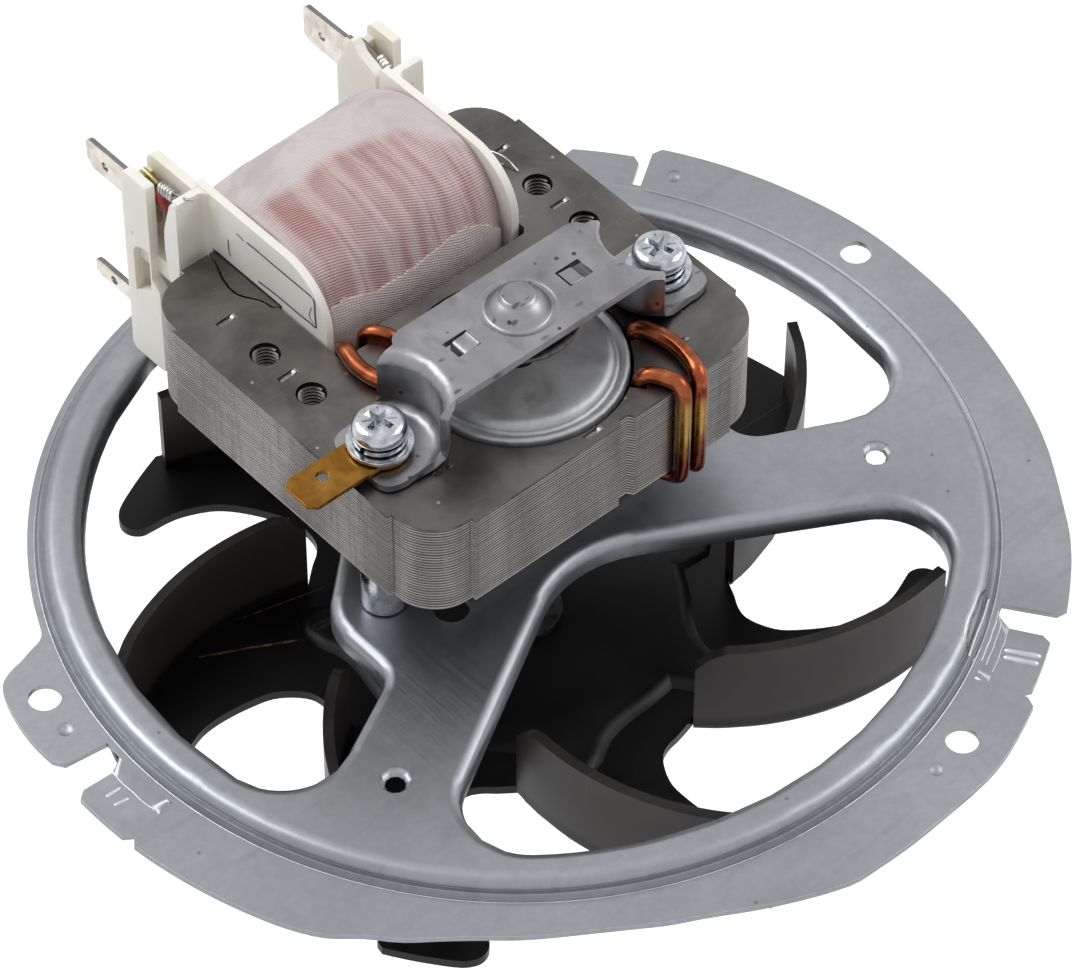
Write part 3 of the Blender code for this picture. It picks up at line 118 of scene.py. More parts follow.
class Finish(Graph):
    """A Principled material with short calls for its textures."""

    def __init__(self, name, metallic=1, **fixed):
        self.material = bpy.data.materials.new(name)
        self.material.use_nodes = True
        super().__init__(self.material.node_tree)
        self.shader = self.tree.nodes["Principled BSDF"]
        self.set("Metallic", metallic)
        for key, value in fixed.items():
            self.set(key.replace("_", " "), value)
        self.place = self.node("ShaderNodeTexCoord").outputs["Object"]

    def set(self, key, value):
        self.plug(self.shader.inputs[key], value)

    def done(self, colour, rough, normal=None):
        self.set("Base Color", colour)
        self.set("Roughness", rough)
        self.set("Normal", normal)
        return self.material

    def where(self, scale, turn, vector=None):
        """Coordinates and scale in cells per metre; three numbers stretch by axis, then turn."""
        if not isinstance(scale, tuple):
            return {"Vector": vector or self.place, "Scale": scale}
        made = self.node("ShaderNodeMapping", {"Vector": self.place, "Scale": scale,
                                               "Rotation": (0, 0, turn)})
        return {"Vector": made.outputs["Vector"], "Scale": 1}

    def noise(self, scale, detail=4, rough=0.55, warp=0, turn=0, vector=None):
        made = self.node("ShaderNodeTexNoise", {**self.where(scale, turn, vector), "Detail": detail,
                                                "Roughness": rough, "Distortion": warp})
        return made.outputs["Fac"]

    def cells(self, scale, turn=0, feature="F1"):
        made = self.node("ShaderNodeTexVoronoi", self.where(scale, turn), feature=feature)
        return made.outputs["Distance"]

    def axis(self, which, vector=None):
        made = self.node("ShaderNodeSeparateXYZ", {"Vector": vector or self.place})
        return made.outputs[which]

    def upward(self, low=0.5, high=0.8):
        """1 on faces that look up."""
        normal = self.node("ShaderNodeNewGeometry").outputs["Normal"]
        return self.span(self.axis(2, normal), low, high)

    def mix(self, share, a, b):
        made = self.node("ShaderNodeMix", data_type="RGBA")
        for key, value in ((0, share), (6, tone(a)), (7, tone(b))):
            self.plug(made.inputs[key], value)
        return made.outputs[2]

    def tint(self, field, low, high, dark, light, lift=0):
        """Dark where the field is low, light where it is high, both brighter by lift."""
        dark, light = ([v + lift for v in colour] for colour in (dark, light))
        return self.mix(self.span(field, low, high), dark, light)

    def over(self, colour, field, low, high, share, other):
        """Another colour laid over, from none at low to its share at high."""
        return self.mix(self.span(field, low, high, 0, share), colour, other)

    def rough(self, field, low, high):
        return self.span(field, 0.3, 0.7, low, high)

    def bump(self, height, microns, strength, below=None):
        made = self.node("ShaderNodeBump", {"Height": height, "Distance": microns * MICRON,
                                            "Strength": strength, "Normal": below})
        return made.outputs["Normal"]


# Finishes

def sheet_steel(name="sheet_steel", lift=0):
    """Satin zinc-coated sheet: clouds, rolling grain and specks; lift brightens a copy that paints
    a highlight on its cut edges.
    """
    f = Finish(name)
    cloud = f.noise(26, 5, 0.6, 0.5)
    grain = f.noise((2600, 60, 400), 4, 0.6, turn=0.5)
    smear = f.noise((60, 300, 60), 4, 0.65, 0.6, -0.4)
    colour = f.tint(cloud, 0.3, 0.7, (142, 145, 149), (160, 163, 168), lift)
    colour = f.over(colour, f.noise(700, 4, 0.65), 0.35, 0.75, 0.3, (122, 124, 128))
    colour = f.over(colour, f.cells(150), 0.05, 0.03, 0.6, (88, 90, 94))
    colour = f.over(colour, smear, 0.56, 0.72, 0.25, (112, 115, 121))
    rough = f.calc("ADD", f.rough(cloud, 0.36, 0.44), f.span(grain, 0.35, 0.65, -0.02, 0.03))
    waves = f.noise(420, 3, 0.5)
    return f.done(colour, rough, f.bump(waves, 30, 0.35, f.bump(grain, 10, 0.25)))


def lamination_face():
    """Dark rolled electrical steel with faint stains, a few oily blooms and light nicks."""
    f = Finish("lamination_face")
    cloud = f.noise(60, 5, 0.6, 0.6)
    grain = f.noise((120, 2400, 800), 4, 0.6, turn=0.06)
    colour = f.tint(cloud, 0.34, 0.66, (83, 81, 79), (116, 113, 110))
    colour = f.over(colour, f.noise(38, 3, 0.5, 1), 0.56, 0.7, 0.45, (124, 118, 120))
    colour = f.over(colour, f.cells(240), 0.075, 0.045, 0.7, (176, 172, 168))
    colour = f.over(colour, grain, 0.56, 0.7, 0.2, (126, 123, 120))
    return f.done(colour, f.rough(cloud, 0.28, 0.42), f.bump(grain, 10, 0.4))


def lamination_edge():
    """Punched sheet edges: each its own grey, with sheared streaks across it."""
    f = Finish("lamination_edge")
    line = f.noise((4, 4, 1990), 1, 0.5)
    tears = f.noise((1100, 1100, 90), 3, 0.6)
    colour = f.tint(line, 0.35, 0.65, (146, 142, 139), (174, 170, 166))
    colour = f.over(colour, tears, 0.5, 0.75, 0.35, (98, 95, 93))
    height = f.calc("SUBTRACT", f.axis(2), STACK_LOW * MM)
    sheet = f.calc("FRACT", f.times(height, 1 / (SHEET_PITCH * MM)))
    middle = f.calc("ABSOLUTE", f.calc("SUBTRACT", sheet, 0.5))
    colour = f.over(colour, middle, 0.25, 0.38, 0.9, (42, 40, 39))
    return f.done(colour, f.rough(tears, 0.28, 0.46), f.bump(tears, 20, 0.5))


def bracket_zinc(name="bracket_zinc", lift=0):
    """Galvanised sheet with pits, long dents and dark specks; lift brightens a copy that paints a
    highlight on its cut edges.
    """
    f = Finish(name)
    cloud = f.noise(110, 5, 0.6, 0.5)
    faint = f.cells((210, 273, 210), 0.7)
    colour = f.tint(cloud, 0.3, 0.7, (130, 130, 134), (156, 156, 159), lift)
    colour = f.over(colour, f.noise(230, 5, 0.7, 0.8), 0.56, 0.66, 0.35, (116, 116, 120))
    colour = f.over(colour, faint, 0.26, 0.1, 0.3, (104, 104, 108))
    colour = f.over(colour, f.cells(330), 0.14, 0.07, 0.9, (52, 52, 56))
    dent = f.span(f.cells((210, 520, 420), 0.35), 0.2, 0.12)
    dent = f.times(dent, f.span(f.noise(90, 2), 0.5, 0.56), 0.75)
    colour = f.mix(dent, colour, (74, 74, 80))
    return f.done(colour, f.rough(cloud, 0.28, 0.42), f.bump(f.noise(420, 2, 0.5), 30, 0.5))


def heated_copper():
    """Drawn copper wire, browned by brazing, yellower where it runs down the stack."""
    f = Finish("heated_copper")
    cloud = f.noise(230, 3, 0.55, 0.5)
    colour = f.tint(cloud, 0.33, 0.67, (122, 58, 34), (182, 106, 72))
    colour = f.over(colour, f.noise(110, 3, 0.6, 0.3), 0.46, 0.6, 0.7, (78, 34, 22))
    uneven = f.span(f.noise(150, 2), 0.3, 0.7, -0.0018, 0.0018)
    height = f.calc("ADD", f.axis(2), uneven)
    band = f.times(f.span(height, 0.0195, 0.0225), f.span(height, 0.0305, 0.0275), 0.85)
    colour = f.mix(band, colour, (172, 136, 74))
    colour = f.over(colour, height, 0.0215, 0.0165, 0.8, (112, 58, 46))
    return f.done(colour, f.rough(cloud, 0.18, 0.34), f.bump(f.noise(160, 2), 80, 0.3))


def cast_aluminium():
    """Die-cast end ring: matte grey with small pits and one brown spot."""
    f = Finish("cast_aluminium", 0.75)
    cloud = f.noise(150, 5, 0.65, 0.4)
    colour = f.tint(cloud, 0.3, 0.7, (150, 151, 154), (182, 183, 186))
    stained = (-0.0041, -0.0066, 0.0324)
    reach = f.node("ShaderNodeVectorMath", {0: f.place, 1: stained}, operation="DISTANCE")
    uneven = f.span(f.noise(900, 3), 0.3, 0.7, -0.0004, 0.0004)
    spot = f.calc("ADD", reach.outputs["Value"], uneven)
    colour = f.over(colour, spot, 0.0012, 0.0005, 0.3, (104, 70, 48))
    return f.done(colour, f.rough(cloud, 0.42, 0.58), f.bump(f.noise(900, 3, 0.6), 40, 0.6))


def black_enamel():
    """Satin black over steel sheet: dusty vane tops, scuffs and long scratches, with painted light
    that turns the vanes' upright walls a lighter brown grey.
    """
    f = Finish("black_enamel", 0, Specular_IOR_Level=0.2)
    cloud = f.noise(45, 5, 0.65, 0.8)
    fine = f.noise(900, 3, 0.6)
    colour = f.tint(cloud, 0.35, 0.7, (8, 8, 10), (20, 18, 19))
    colour = f.over(colour, fine, 0.6, 0.8, 0.2, (50, 47, 46))
    height = f.axis(2)
    # Painted light: the vanes' upright walls above the web turn a lighter brown grey, less where a
    # face looks up
    upright = f.calc("SUBTRACT", 1, f.times(f.upward(0.3, 0.7), 0.85))
    walls = f.times(f.span(height, -0.0198, -0.0186), f.rough(cloud, 0.55, 1), upright)
    colour = f.mix(walls, colour, (57, 52, 50))
    dust = f.times(f.span(height, -0.0098, -0.0062), f.span(f.noise(160, 4), 0.3, 0.62), 0.16)
    colour = f.mix(dust, colour, (92, 87, 84))
    lines = f.span(f.cells((7.68, 48, 48), 0.45, "DISTANCE_TO_EDGE"), 0.006, 0)
    lines = f.times(lines, f.span(f.noise(34, 2), 0.5, 0.58), 0.25)
    colour = f.mix(lines, colour, (96, 92, 89))
    return f.done(colour, f.rough(cloud, 0.30, 0.46), f.bump(fine, 20, 0.5))


def ivory_plastic():
    """Slightly translucent moulding, yellower where its far walls are thin, with a few specks."""
    f = Finish("ivory_plastic", 0, Subsurface_Weight=0.35,
               Subsurface_Scale=0.002, Subsurface_Radius=(1, 0.85, 0.6))
    cloud = f.noise(55, 3, 0.5)
    colour = f.tint(cloud, 0.35, 0.65, (234, 230, 218), (242, 240, 233))
    x, y, z = (f.axis(i) for i in range(3))
    far = f.times(f.span(y, 0.0485, 0.0515), f.span(z, 0.028, 0.036))
    middle = f.times(f.span(x, -0.0186, -0.0180), f.span(x, 0.001, 0))
    thin = f.times(far, f.calc("MAXIMUM", f.span(x, 0.0196, 0.0206), middle), 0.35)
    colour = f.mix(thin, colour, (228, 220, 194))
    colour = f.over(colour, f.cells(160), 0.06, 0.03, 0.4, (150, 146, 136))
    return f.done(colour, f.rough(cloud, 0.34, 0.46), f.bump(f.noise(1500, 3, 0.6), 20, 0.4))


def winding_wire():
    """Enamelled copper turns."""
    f = Finish("winding_wire", 0.6)
    wave = {"Vector": f.place, "Scale": 1100, "Distortion": 0.4, "Detail": 1}
    turns = f.node("ShaderNodeTexWave", wave, bands_direction="X").outputs["Fac"]
    colour = f.tint(turns, 0.2, 0.8, (96, 38, 30), (176, 88, 68))
    return f.done(colour, 0.35, f.bump(turns, 80, 0.8))


def woven_tape(name, pale):
    """White glass-cloth tape; where it is pulled tight the red winding shows between threads."""
    f = Finish(name, 0)
    weft, warp, touch, striped = (
        f.node("ShaderNodeAttribute", attribute_name=key).outputs["Fac"]
        for key in ("weft", "warp", "contact", "stripe"))
    uneven = f.span(f.noise(500, 3, 0.5), 0.3, 0.7, -0.5, 0.5)
    across = f.calc("SINE", f.calc("ADD", f.times(weft, tau / WEFT_PITCH), uneven))
    along = f.calc("SINE", f.times(warp, tau / WARP_PITCH))
    weave = f.calc("ADD", f.span(across, -1, 1), f.span(along, -1, 1, 0, 0.35))
    if pale:
        grid = f.times(f.span(across, -0.6, 0.6), f.span(along, -0.8, 0.4, 0.5, 1))
        return f.done(f.mix(grid, (184, 172, 170), (224, 214, 211)), 0.6, f.bump(weave, 90, 0.6))
    thread = f.span(across, -0.85, 0.35)
    contact = f.times(touch, f.span(f.noise(120, 4, 0.6, 0.4), 0.3, 0.5, 0.6, 1))
    lay = f.node("ShaderNodeCombineXYZ", {"X": warp, "Y": f.times(weft, 0.07)}).outputs["Vector"]
    streak = f.span(f.noise(0.75, 4, 0.65, vector=lay), 0.46, 0.6)
    stripe = f.times(striped, f.span(f.noise(90, 3), 0.34, 0.56, 0.5, 1))
    stripe = f.calc("MAXIMUM", stripe, f.times(streak, contact, 0.75))
    calm = f.tint(f.noise(95, 4, 0.55, 0.8), 0.44, 0.62, (208, 199, 199), (187, 177, 180))
    closed = f.times(thread, f.span(along, -0.9, 0.2))
    calm = f.mix(f.times(f.calc("SUBTRACT", 1, closed), 0.3), calm, (168, 154, 154))
    colour = f.mix(contact, calm, f.mix(thread, (176, 146, 144), (206, 188, 186)))
    colour = f.mix(stripe, colour, f.mix(thread, (128, 78, 74), (184, 150, 147)))
    weave = f.times(weave, f.calc("MAXIMUM", touch, 0.35))
    return f.done(colour, 0.6, f.bump(weave, 90, 0.6))


def floor_white():
    """Pale floor that the camera sees as white, with the object's shadow left on it."""
    f = Finish("floor", 0, Emission_Color=(1, 1, 1, 1))
    f.set("Emission Strength", f.times(f.seen(), 0.35))
    return f.done(f.tint(f.noise(3), 0.3, 0.7, (0.84, 0.84, 0.85), (0.87, 0.87, 0.88)), 0.9)


def plain(name, dark, light, noise, ends=(0.35, 0.65), rough=0.5, bump=None, metallic=1,
          layer=None, top_share=0):
    """A finish from one noise: its colour, roughness range and bump, which may have its own
    noise, with one layer over it (a noise and what over() takes) or darker top faces."""
    f = Finish(name, metallic)
    field = f.noise(*noise)
    colour = f.tint(field, *ends, dark, light)
    if layer:
        colour = f.over(colour, f.noise(*layer[0]), *layer[1:])
    if top_share:
        colour = f.mix(f.times(f.upward(), top_share), colour, (84, 82, 80))
    rough = f.rough(field, *rough) if isinstance(rough, tuple) else rough
    if bump:
        *own, microns, strength = bump
        bump = f.bump(f.noise(*own[0]) if own else field, microns, strength)
    return f.done(colour, rough, bump)


# What a kind of plain finish shares: noise, roughness and bump in microns with its strength
SHEARED = {"noise": ((500, 2600, 900), 3, 0.6), "rough": (0.2, 0.42), "bump": (30, 0.6)}
THREAD = {"noise": (900, 3, 0.6), "rough": (0.24, 0.4)}
BRASS_GRAIN = ((160, 3200, 900), 3, 0.6)
TINNED = {"noise": (380, 4, 0.6, 0.4), "rough": (0.2, 0.36), "bump": (20, 0.4)}
FINISHES = {
    "plate": sheet_steel(),
    # A lighter copy of the plate's steel: painted highlight on its cut edges and pressings
    "plate_edge": sheet_steel("sheet_steel_painted_highlight", 44),
    "bracket": bracket_zinc(),
    # A lighter copy of the bracket's zinc: painted highlight on its cut edges
    "bracket_edge": bracket_zinc("bracket_zinc_painted_highlight", 48),
    "lamination": lamination_face(),
    "lamination_edge": lamination_edge(),
    "sheared": plain("sheared_steel", (110, 107, 104), (160, 156, 152), **SHEARED),
    "lamination_floor": plain("interlock_floor", (104, 101, 98), (150, 146, 143), **SHEARED),
    # Two copies of the thread metal: a lighter one on the upward flanks, a near-black one as
    # painted shade on the downward flanks and roots
    "thread": plain("cut_thread", (72, 70, 67), (106, 103, 99), **THREAD),
    "thread_root": plain("thread_root", (20, 19, 18), (34, 32, 31), **THREAD),
    # Plated screws, washers and spacers
    "zinc": plain("bright_zinc", (158, 162, 167), (204, 207, 211), (700, 4, 0.6),
                  rough=(0.14, 0.3), bump=((1500, 3), 20, 0.5),
                  layer=((260, 4, 0.65, 0.6), 0.54, 0.68, 0.5, (112, 112, 114))),
    # Brass under a see-through orange brown tarnish
    "brass": plain("tarnished_brass", (122, 80, 30), (152, 112, 50), (200, 4, 0.6, 0.6),
                   rough=(0.22, 0.38), bump=(BRASS_GRAIN, 20, 0.5),
                   layer=(BRASS_GRAIN, 0.56, 0.75, 0.35, (96, 62, 28))),
    "tin": plain("tinned_metal", (186, 178, 166), (222, 217, 208), top_share=0.75, **TINNED),
    "yellowed_tin": plain("yellowed_tin", (150, 132, 78), (196, 182, 128), **TINNED),
    "solder": plain("solder", (150, 150, 150), (226, 226, 226), **TINNED),
    "red_varnish": plain("red_varnish", (128, 34, 30), (182, 66, 54), (700, 4, 0.6),
                         rough=(0.22, 0.46), bump=(60, 0.6), metallic=0),
    "bronze": plain("sintered_bronze", (112, 86, 60), (170, 138, 100), (2200, 3, 0.7),
                    (0.3, 0.7), bump=(30, 0.8)),
    "retainer": plain("dark_spring_steel", (76, 74, 72), (114, 112, 109), (500, 3),
                      (0.3, 0.7), (0.28, 0.44)),
    "copper": heated_copper(),
    "aluminium": cast_aluminium(),
    "shaft": plain("ground_steel", (150, 150, 151), (198, 198, 198),
                   ((60, 60, 4000), 2, 0.5), rough=(0.18, 0.32)),
    "enamel": black_enamel(),
    "ivory": ivory_plastic(),
    "winding": winding_wire(),
    "tape": woven_tape("woven_tape", False),
    "flap": woven_tape("woven_tape_flap", True),
    "ink": plain("blue_ink", (40, 38, 72), (84, 76, 142), (900, 3), (0.35, 0.7), metallic=0),
    "bare_scratch": plain("bare_scratch", (58, 42, 36), (156, 118, 94), (900, 4, 0.6),
                          (0.4, 0.6), metallic=0.3),
}
SHADING_COILS = ("shading_coil_front_outer shading_coil_front_inner shading_coil_rear_outer "
                 "shading_coil_rear_inner")
# Finish, width of the softened edges in mm, nodes
WEARS = (
    ("plate", 0.14, "mounting_plate"),
    ("lamination", 0, "stator_c_core coil_core_bar rotor_core"),
    ("bracket", 0.13, "bearing_bracket_top bearing_bracket_bottom"),
    ("zinc", 0.1, "bracket_screw_left bracket_screw_right flat_washer_left flat_washer_right "
                  "spring_washer_left spring_washer_right spacer_left spacer_right "
                  "fan_washer_lower fan_nut"),
    ("brass", 0.08, "earth_tab"),
    ("tin", 0.08, "terminal_upper_right terminal_upper_left terminal_lower_left"),
    ("bronze", 0.15, "bearing_top bearing_bottom"),
    ("retainer", 0.1, "bearing_retainer_top bearing_retainer_bottom fan_washer_upper"),
    ("copper", 0, SHADING_COILS),
    ("aluminium", 0.1, "rotor_end_ring_top rotor_end_ring_bottom"),
    ("shaft", 0.2, "rotor_shaft fan_collar"),
    ("enamel", 0.12, "fan"),
    ("ivory", 0.22, "coil_bobbin"),
    ("winding", 0, "coil_winding"),
    ("tape", 0, "coil_tape"),
)


# Modifiers

SAME_POINT = 1e-6  # metres
SAME_PLANE = radians(0.5)


def modify(made, name, kind, **settings):
    modifier = made.modifiers.new(name, kind)
    for key, value in settings.items():
        setattr(modifier, key, value)


def join_faces(node, flat=True):
    """Welds a node's loose triangles, and joins those that lie in one plane."""
    modify(node, "weld", "WELD", merge_threshold=SAME_POINT)
    if flat:
        modify(node, "flat", "DECIMATE", decimate_type="DISSOLVE", angle_limit=SAME_PLANE)


def shade_smooth(mesh):
    mesh.polygons.foreach_set("use_smooth", [True] * len(mesh.polygons))


def soften(made, width, joined=True, sharp=34):
    """Rounds edges by modifiers, so a CAD node's mesh stays; a second finish goes on the rounds,
    for the plate and the brackets a lighter copy as a painted highlight.
    """
    shade_smooth(made.data)
    if joined:
        join_faces(made, bool(width))
    if width:
        weighted = "bevel_weight_edge" in made.data.attributes
        modify(made, "soft_edge", "BEVEL", width=width * MM, segments=2,
               limit_method="WEIGHT" if weighted else "ANGLE", angle_limit=radians(sharp),
               material=1 if len(made.data.materials) > 1 else -1)
    modify(made, "split", "EDGE_SPLIT", split_angle=radians(max(40, min(sharp, 61))))
    if width:
        modify(made, "weigh", "WEIGHTED_NORMAL", weight=80)


for finish_name, edge_width, node_names in WEARS:
    for node_name in node_names.split():
        NODES[node_name].data.materials.clear()
        NODES[node_name].data.materials.append(FINISHES[finish_name])
        soften(NODES[node_name], edge_width)


# Building blocks for the detail pieces

def node_shape(name):
    """A welded copy of a node's mesh with its flat faces joined, to build a finer piece from."""
    work = bmesh.new()
    work.from_mesh(NODES[name].data)
    bmesh.ops.remove_doubles(work, verts=work.verts, dist=SAME_POINT)
    bmesh.ops.dissolve_limit(work, angle_limit=SAME_PLANE, verts=work.verts, edges=work.edges)
    return work


def linked(name, data):
    made = bpy.data.objects.new(name, data)
    bpy.context.scene.collection.objects.link(made)
    return made


def mesh_of(name, work):
    mesh = bpy.data.meshes.new(name)
    bmesh.ops.recalc_face_normals(work, faces=work.faces)
    work.to_mesh(mesh)
    work.free()
    return mesh


def piece(name, shape, finishes, replaced=None, sharp=38, body="stator"):
    """Turns a bmesh or a mesh into a dressed piece that rides on a body."""
    mesh = mesh_of(name, shape) if isinstance(shape, bmesh.types.BMesh) else shape
    made = linked(name, mesh)
    shade_smooth(mesh)
    mesh.set_sharp_from_angle(angle=radians(sharp))
    if "lamination_edge" in finishes:
        walls = [abs(face.normal.z) < 0.9 for face in mesh.polygons]
        mesh.polygons.foreach_set("use_smooth", walls)
    for finish in finishes.split():
        mesh.materials.append(FINISHES[finish])
    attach(made, body)
    if replaced:
        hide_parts(replaced)
    return made


def on_rings(work, least=36):
    """Points that lie on whole rings about the rotor axis, moved exactly onto them."""
    counts = {}
    for vert in work.verts:
        key = (round(hypot(vert.co.x, vert.co.y) / MM, 2), round(vert.co.z / MM, 2))
        counts[key] = counts.get(key, 0) + 1
    rings = [key for key, count in counts.items() if count >= least]
    chord_share, near = 0.99922, 0.006
    found = {}
    for vert in work.verts:
        r, z = hypot(vert.co.x, vert.co.y) / MM, vert.co.z / MM
        for radius, height in rings:
            if abs(z - height) < 0.02 and radius * chord_share - near <= r <= radius + near:
                vert.co.x *= radius / r
                vert.co.y *= radius / r
                found[vert] = radius
    return found


LEAST_BEND = 0.014  # radians
MOST_BEND = radians(31)
SPLITS = (1 / 3, 2 / 3)


def onward(edge, vert):
    """The edge that goes on most nearly straight past a point."""
    way = (vert.co - edge.other_vert(vert).co).normalized()
    best, most = None, cos(MOST_BEND)
    for other in vert.link_edges:
        if other is edge or other.calc_face_angle(0) < LEAST_BEND:
            continue
        ahead = (other.other_vert(vert).co - vert.co).normalized()
        if way.dot(ahead) > most:
            best, most = other, way.dot(ahead)
    return best


def ring_points(start, end, radius):
    """Points that split an edge, laid on its ring about the rotor axis."""
    points = []
    for t in SPLITS:
        point = start.co.lerp(end.co, t)
        flat = hypot(point.x, point.y)
        points.append(Vector((point.x * radius / flat, point.y * radius / flat, point.z)))
    return points


def curve_points(edge, axis):
    """Points that split an edge, on a Hermite curve along its neighbours; none if straight."""
    start, end = edge.verts
    chord = end.co - start.co
    length = chord.length
    way = chord / length
    tangents, turned, shortest = [], 0, 1
    for vert, sign in ((start, -1), (end, 1)):
        tangents.append(None)
        nearby = onward(edge, vert)
        if nearby is None:
            continue
        ahead = (nearby.other_vert(vert).co - vert.co) * sign
        shortest = min(shortest, ahead.length)
        bend = ahead.normalized() - way
        if abs(bend[axis]) > 0.35 * bend.length and bend.length > 0.02:
            continue
        turned = max(turned, bend.length)
        tangents[-1] = (way * length + ahead).normalized()
    if turned < LEAST_BEND or length > 2.6 * shortest:
        return []
    first, last = tangents
    if first is None:
        first = way * 2 * way.dot(last) - last
    if last is None:
        last = way * 2 * way.dot(first) - first
    return [start.co * (2 * t ** 3 - 3 * t * t + 1) + end.co * (3 * t * t - 2 * t ** 3)
            + first * length * (t ** 3 - 2 * t * t + t) + last * length * (t ** 3 - t * t)
            for t in SPLITS]


def refined(work, axis=2):
    """Rounds a faceted outline: edges that bend gently about the axis are split along a curve."""
    ringed = on_rings(work)
    work.normal_update()
    plan = []
    for edge in work.edges:
        start, end = edge.verts
        length = (end.co - start.co).length
        if edge.calc_face_angle(0) < LEAST_BEND or length < 0.25 * MM:
            continue
        points = []
        if ringed.get(start) is not None and ringed.get(start) == ringed.get(end):
            radius = ringed[start] * MM
            if length < 0.12 * radius:
                points = ring_points(start, end, radius)
        else:
            points = curve_points(edge, axis)
        if points:
            plan.append((edge, start, end, points))
    quads = [tuple(face.verts) for face in work.faces if len(face.verts) == 4]
    made = {}
    for edge, start, end, points in plan:
        found, current, last = [], edge, start
        for point in points:
            fresh = bmesh.utils.edge_split(current, last, 0.5)[1]
            fresh.co = point
            found.append(fresh)
            current = next(e for e in fresh.link_edges if e.other_vert(fresh) is end)
            last = fresh
        made[(start, end)] = found
        made[(end, start)] = found[::-1]
    for a, b, c, d in quads:
        near, far = made.get((a, b)), made.get((d, c))
        if near is None or far is None:
            near, far = made.get((b, c)), made.get((a, d))
        if near is None or far is None:
            continue
        for one, other in zip(near, far):
            shared = set(one.link_faces) & set(other.link_faces)
            if shared and not set(one.link_edges) & set(other.link_edges):
                bmesh.utils.face_split(shared.pop(), one, other)
    return work


def carved(work, cutter):
    """The first shape with the second cut out of it."""
    whole = linked("carve_whole", mesh_of("carve_whole", work))
    tool = linked("carve_tool", mesh_of("carve_tool", cutter))
    modify(whole, "cut", "BOOLEAN", object=tool, solver="EXACT", use_self=True)
    bpy.context.view_layer.update()
    left = bmesh.new()
    left.from_object(whole, bpy.context.evaluated_depsgraph_get())
    for used in (whole, tool):
        mesh = used.data
        bpy.data.objects.remove(used)
        bpy.data.meshes.remove(mesh)
    return left


def point_at(work, x, y, z):
    return work.verts.new((x * MM, y * MM, z * MM))


def polar(r, turn, x=0, y=0):
    return x + r * cos(turn), y + r * sin(turn)


def prism(work, outline, axis, low, high):
    """Adds a closed prism along the axis; the outline's two numbers fill the other axes."""
    rings = [[point_at(work, *pair[:axis], level, *pair[axis:]) for pair in outline]
             for level in (low, high)]
    for i in range(len(outline)):
        j = (i + 1) % len(outline)
        work.faces.new((rings[0][i], rings[0][j], rings[1][j], rings[1][i]))
    work.faces.new(rings[0])
    work.faces.new(rings[1][::-1])
    return rings[0] + rings[1]


def lathe(work, profile, x, y, steps=64):
    """Adds a closed solid turned about an upright axis; the profile starts and ends on it."""
    rows = []
    for r, z in profile:
        turns = [tau * i / steps for i in range(steps if r else 1)]
        rows.append([point_at(work, *polar(r, turn, x, y), z) for turn in turns])
    for low, high in zip(rows, rows[1:]):
        for i in range(steps):
            j = (i + 1) % steps
            ring = (low[i % len(low)], low[j % len(low)], high[j % len(high)], high[i % len(high)])
            corners = list(dict.fromkeys(ring))
            if len(corners) > 2:
                work.faces.new(corners)


def wire(work, points, radius, steps=8, taper=None):
    """Adds a round wire through the points, closed at both ends; taper scales it by point."""
    path = [Vector(p) * MM for p in points]
    side = None
    rings = []
    for i, point in enumerate(path):
        ahead = (path[min(i + 1, len(path) - 1)] - path[max(i - 1, 0)]).normalized()
        if side is None:
            side = ahead.orthogonal().normalized()
        side = (side - ahead * side.dot(ahead)).normalized()
        other = ahead.cross(side)
        reach = radius * MM * (taper[i] if taper else 1)
        turns = [tau * k / steps for k in range(steps)]
        rings.append([work.verts.new(point + (side * cos(t) + other * sin(t)) * reach)
                      for t in turns])
    for low, high in zip(rings, rings[1:]):
        for k in range(steps):
            m = (k + 1) % steps
            work.faces.new((low[k], low[m], high[m], high[k]))
    work.faces.new(rings[0][::-1])
    work.faces.new(rings[-1])


def smooth_path(points, per_span=6):
    """Catmull-Rom points through the given ones."""
    given = [np.array(p, float) for p in points]
    ends = [2 * given[0] - given[1]] + given + [2 * given[-1] - given[-2]]
    path = []
    for i in range(1, len(ends) - 2):
        a, b, c, d = ends[i - 1:i + 3]
        for k in range(per_span):
            t = k / per_span
            path.append(0.5 * (2 * b + (c - a) * t + (2 * a - 5 * b + 4 * c - d) * t * t
                               + (3 * b - a - 3 * c + d) * t ** 3))
    path.append(given[-1])
    return [tuple(p) for p in path]


def stroke(work, points, width, up, proud=0.025):
    """Adds a thin raised stroke through the points, its face toward up."""
    path, lift = [Vector(p) for p in points], Vector(up)
    last = len(path) - 1
    rings = [[], [], [], []]
    for i, point in enumerate(path):
        ahead = path[min(i + 1, last)] - path[max(i - 1, 0)]
        side = ahead.cross(lift).normalized() * width * (0.15 if i in (0, last) else 0.5)
        corners = (point - side, point + side, point + side + lift * proud,
                   point - side + lift * proud)
        for ring, corner in zip(rings, corners):
            ring.append(work.verts.new(corner * MM))
    for i in range(last):
        for k in range(4):
            low, high = rings[k], rings[(k + 1) % 4]
            work.faces.new((low[i], low[i + 1], high[i + 1], high[i]))
    work.faces.new([ring[0] for ring in rings])
    work.faces.new([ring[-1] for ring in rings[::-1]])


# Sheet metal and mouldings with their outlines rounded:
# node, finishes, edge width, axis of the outline, slot, body, least angle of a softened edge

